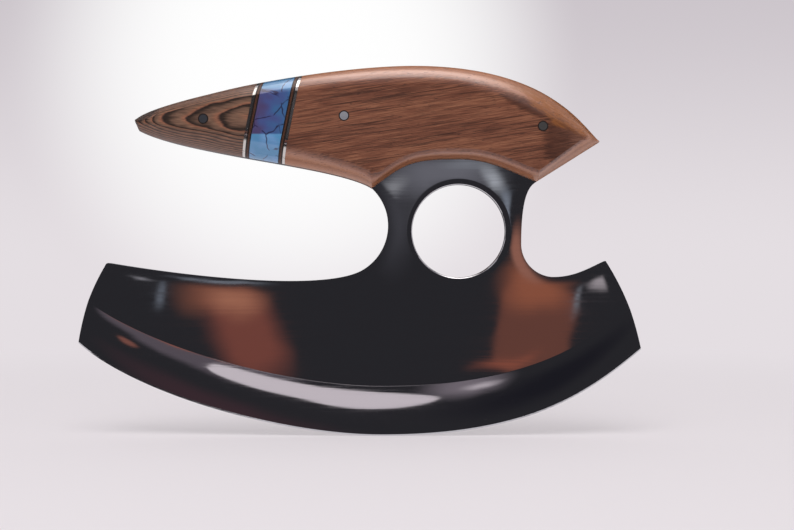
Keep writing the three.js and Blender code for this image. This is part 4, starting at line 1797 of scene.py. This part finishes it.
@dataclass
class Studio:
    """Camera, floor, lamps, backdrop and the cards that the polished steel faces."""

    camera_place: Triple = (11.78, -401.6, 54.04)
    camera_near: float = 10.0
    field_width: float = 250.0
    sensor: float = 36.0
    backdrop: str = "#e4dee2"
    upper_backdrop: str = "#cac3c9"
    # The upward part of the direction in which the backdrop has turned to its upper colour.
    upper_from: float = 0.24
    glow: str = "#ffffff"
    glow_towards: Triple = (-0.08, 1.0, 0.16)
    glow_reach: Pair = (13.0, 2.0)
    ambient: float = 0.55
    ambient_colour: str = "#fffdfd"
    floor_radius: float = 1600.0
    floor_sides: int = 96
    floor_colour: str = "#efe9ed"
    floor_roughness: float = 0.9
    floor_fade: Pair = (40.0, 460.0)
    floor_lift: float = 0.5
    floor_bounce: float = 1.15
    cards: tuple[Card, ...] = (FRONT_CARD, REAR_CARD, OVERHEAD_CARD)
    # How far noise shifts the patches' outlines, and its scale. A patch with a crisper edge than
    # this isn't shifted.
    card_stir: float = 16.0
    card_stir_scale: float = 24.0
    crisp_edge: float = 0.1
    lamps: tuple[Lamp, ...] = (
        Lamp("overhead_softbox", (-50.0, -420.0, 740.0), (0.0, 0.0, 60.0), 600.0, 3.4),
        Lamp("front_fill", (-200.0, -800.0, 80.0), (0.0, 0.0, 90.0), 500.0, 0.35),
    )

    def aim_camera(self) -> None:
        """Sets the camera level, square to the knife, at the distance the perspective shows."""
        data = bpy.data.cameras.new("camera")
        data.sensor_width = self.sensor
        to_steel = -self.camera_place[1] - Blade.thickness / 2
        data.lens = self.sensor * to_steel / self.field_width
        data.clip_start = self.camera_near * MM
        camera = add_object("camera", data)
        camera.location = metres(self.camera_place)
        camera.rotation_euler = (math.pi / 2, 0.0, 0.0)
        bpy.context.scene.camera = camera

    def hang_backdrop(self) -> None:
        """Sets a pale world, which the camera and reflections see, and a softer one that lights."""
        world = bpy.data.worlds.new("pale_backdrop")
        bpy.context.scene.world = world
        world.use_nodes = True
        tree = world.node_tree
        add = partial(add_node, tree)
        towards = add("TexCoord").outputs["Generated"]
        height = add("SeparateXYZ", {0: towards}).outputs["Z"]
        upper = add("MapRange", {
            "Value": height, FROM: (0.0, self.upper_from)}, interpolation_type="SMOOTHSTEP")
        wall = add("Mix", {
            MIX: (upper, linear(self.backdrop), linear(self.upper_backdrop))}, data_type="RGBA")
        aim = Vector(self.glow_towards).normalized()
        near = add("VectorMath", {0: towards, 1: tuple(aim)}, operation="DOT_PRODUCT")
        share = add("MapRange", {
            "Value": near, FROM: [math.cos(math.radians(angle)) for angle in self.glow_reach]},
            interpolation_type="SMOOTHSTEP")
        seen = add("Mix", {MIX: (share, wall, linear(self.glow))}, data_type="RGBA")
        path = add("LightPath").outputs
        shown = path["Is Camera Ray"]
        for ray in ("Is Glossy Ray", "Is Transmission Ray"):
            shown = add("Math", {0: shown, 1: path[ray]}, operation="ADD", use_clamp=True)
        light = [self.ambient * part for part in linear(self.ambient_colour)[:3]]
        mixed = add("Mix", {MIX: (shown, (*light, 1.0), seen)}, data_type="RGBA")
        connect(tree, tree.nodes["Background"], {"Color": mixed})

    def lay_floor(self) -> None:
        """Lays a pale round floor under the edge, which fades into the backdrop."""
        mesh = bpy.data.meshes.new("floor")
        with edited(mesh) as shape:
            bmesh.ops.create_circle(
                shape, cap_ends=True, segments=self.floor_sides, radius=self.floor_radius * MM)
        floor = add_object("floor", mesh)
        material = bpy.data.materials.new("pale_paper")
        material.use_nodes = True
        tree = material.node_tree
        add = partial(add_node, tree)
        paper = tree.nodes["Principled BSDF"]
        connect(tree, paper, {
            "Base Color": linear(self.floor_colour), "Roughness": self.floor_roughness})
        away = add("VectorMath", {0: add("TexCoord").outputs["Object"]}, operation="LENGTH")
        fade = add("MapRange", {
            "Value": away, FROM: metres(self.floor_fade), TO: (self.floor_lift, 1.0)},
            interpolation_type="SMOOTHSTEP")
        seen = add("MapRange", {
            "Value": add("LightPath").outputs["Is Camera Ray"],
            TO: (self.floor_bounce, 1.0)})
        far = add("Emission", {"Color": linear(self.backdrop), "Strength": seen})
        mixed = add("MixShader", {0: fade, 1: paper, 2: far})
        connect(tree, tree.nodes["Material Output"], {"Surface": mixed})
        mesh.materials.append(material)
        floor.visible_glossy = False

    def paint_patch(self, tree: NodeTree, patch: Patch, place: Any) -> Node:
        """Adds the nodes of one patch.

        Args:
            tree: The card's node tree.
            patch: The patch.
            place: The place on the card that they start from.

        Returns:
            1 inside the patch, falling to 0 outside.
        """
        add = partial(add_node, tree)
        (x, z), (wide, tall) = patch.centre, patch.half_size
        local = add("Mapping", {
            "Vector": place, "Location": metres((x, 0.0, z)),
            "Rotation": (0.0, math.radians(patch.lean), 0.0),
            "Scale": metres((wide, THROUGH, tall))}, vector_type="TEXTURE")
        apart = add("VectorMath", {0: local}, operation="ABSOLUTE")
        sides = add("SeparateXYZ", {0: apart}).outputs
        powers = [
            add("Math", {0: sides[axis], 1: patch.square}, operation="POWER")
            for axis in ("X", "Z")]
        total = add("Math", dict(enumerate(powers)), operation="ADD")
        away = add("Math", {0: total, 1: 1 / patch.square}, operation="POWER")
        return add("MapRange", {
            "Value": away, FROM: (1.0, 1.0 - patch.edge)}, interpolation_type="SMOOTHSTEP")

    def stand_card(self, card: Card) -> None:
        """Stands a card where the reflections see it.

        Args:
            card: The card.
        """
        mesh = bpy.data.meshes.new(card.name)
        mesh.from_pydata([metres(corner) for corner in card.corners], [], [(0, 1, 2, 3)])
        stood = add_object(card.name, mesh)
        material = bpy.data.materials.new(card.name)
        material.use_nodes = True
        tree = material.node_tree
        tree.nodes.remove(tree.nodes["Principled BSDF"])
        add = partial(add_node, tree)
        place = add("TexCoord").outputs["Object"]
        noise = add("TexNoise", {"Vector": place, "Scale": self.card_stir_scale})
        level = add("VectorMath", {
            0: noise.outputs["Color"], 1: (0.5, 0.5, 0.5)}, operation="SUBTRACT")
        stirred = add("VectorMath", {
            0: level, 1: metres((self.card_stir, 0.0, self.card_stir)), 2: place},
            operation="MULTIPLY_ADD")
        colour: Any = linear(card.colour)
        for patch in card.patches:
            share = self.paint_patch(
                tree, patch, place if patch.edge < self.crisp_edge else stirred)
            colour = add("Mix", {MIX: (share, colour, linear(patch.colour))}, data_type="RGBA")
        shine = add("Emission", {"Color": colour, "Strength": card.strength})
        connect(tree, tree.nodes["Material Output"], {"Surface": shine})
        material.cycles.emission_sampling = "NONE"
        mesh.materials.append(material)
        for ray in ("camera", "diffuse", "transmission", "volume_scatter", "shadow"):
            setattr(stood, f"visible_{ray}", False)

    def hang_lamps(self) -> None:
        """Hangs a wide soft lamp overhead and a weaker one low beside the camera."""
        for lamp in self.lamps:
            data = bpy.data.lights.new(lamp.name, "AREA")
            data.shape = "DISK"
            data.size = lamp.diameter * MM
            data.energy = lamp.power
            hung = add_object(lamp.name, data)
            hung.location = metres(lamp.place)
            aim = Vector(metres(lamp.target)) - hung.location
            hung.rotation_euler = aim.to_track_quat("-Z", "Y").to_euler()
            hung.visible_glossy = False

    def dress(self) -> None:
        """Sets up everything that isn't part of the knife."""
        bpy.context.scene.view_settings.view_transform = "Standard"
        self.aim_camera()
        self.hang_backdrop()
        self.lay_floor()
        for card in self.cards:
            self.stand_card(card)
        self.hang_lamps()
        LOG.info("studio set")


def main() -> None:
    """Builds the knife piece by piece, then the studio."""
    logging.basicConfig(level=logging.INFO, format="%(message)s")
    handle = Handle()
    Blade().dress()
    handle.dress()
    Pins(handle).dress()
    Studio().dress()
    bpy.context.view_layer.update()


if __name__ == "__main__":
    main()
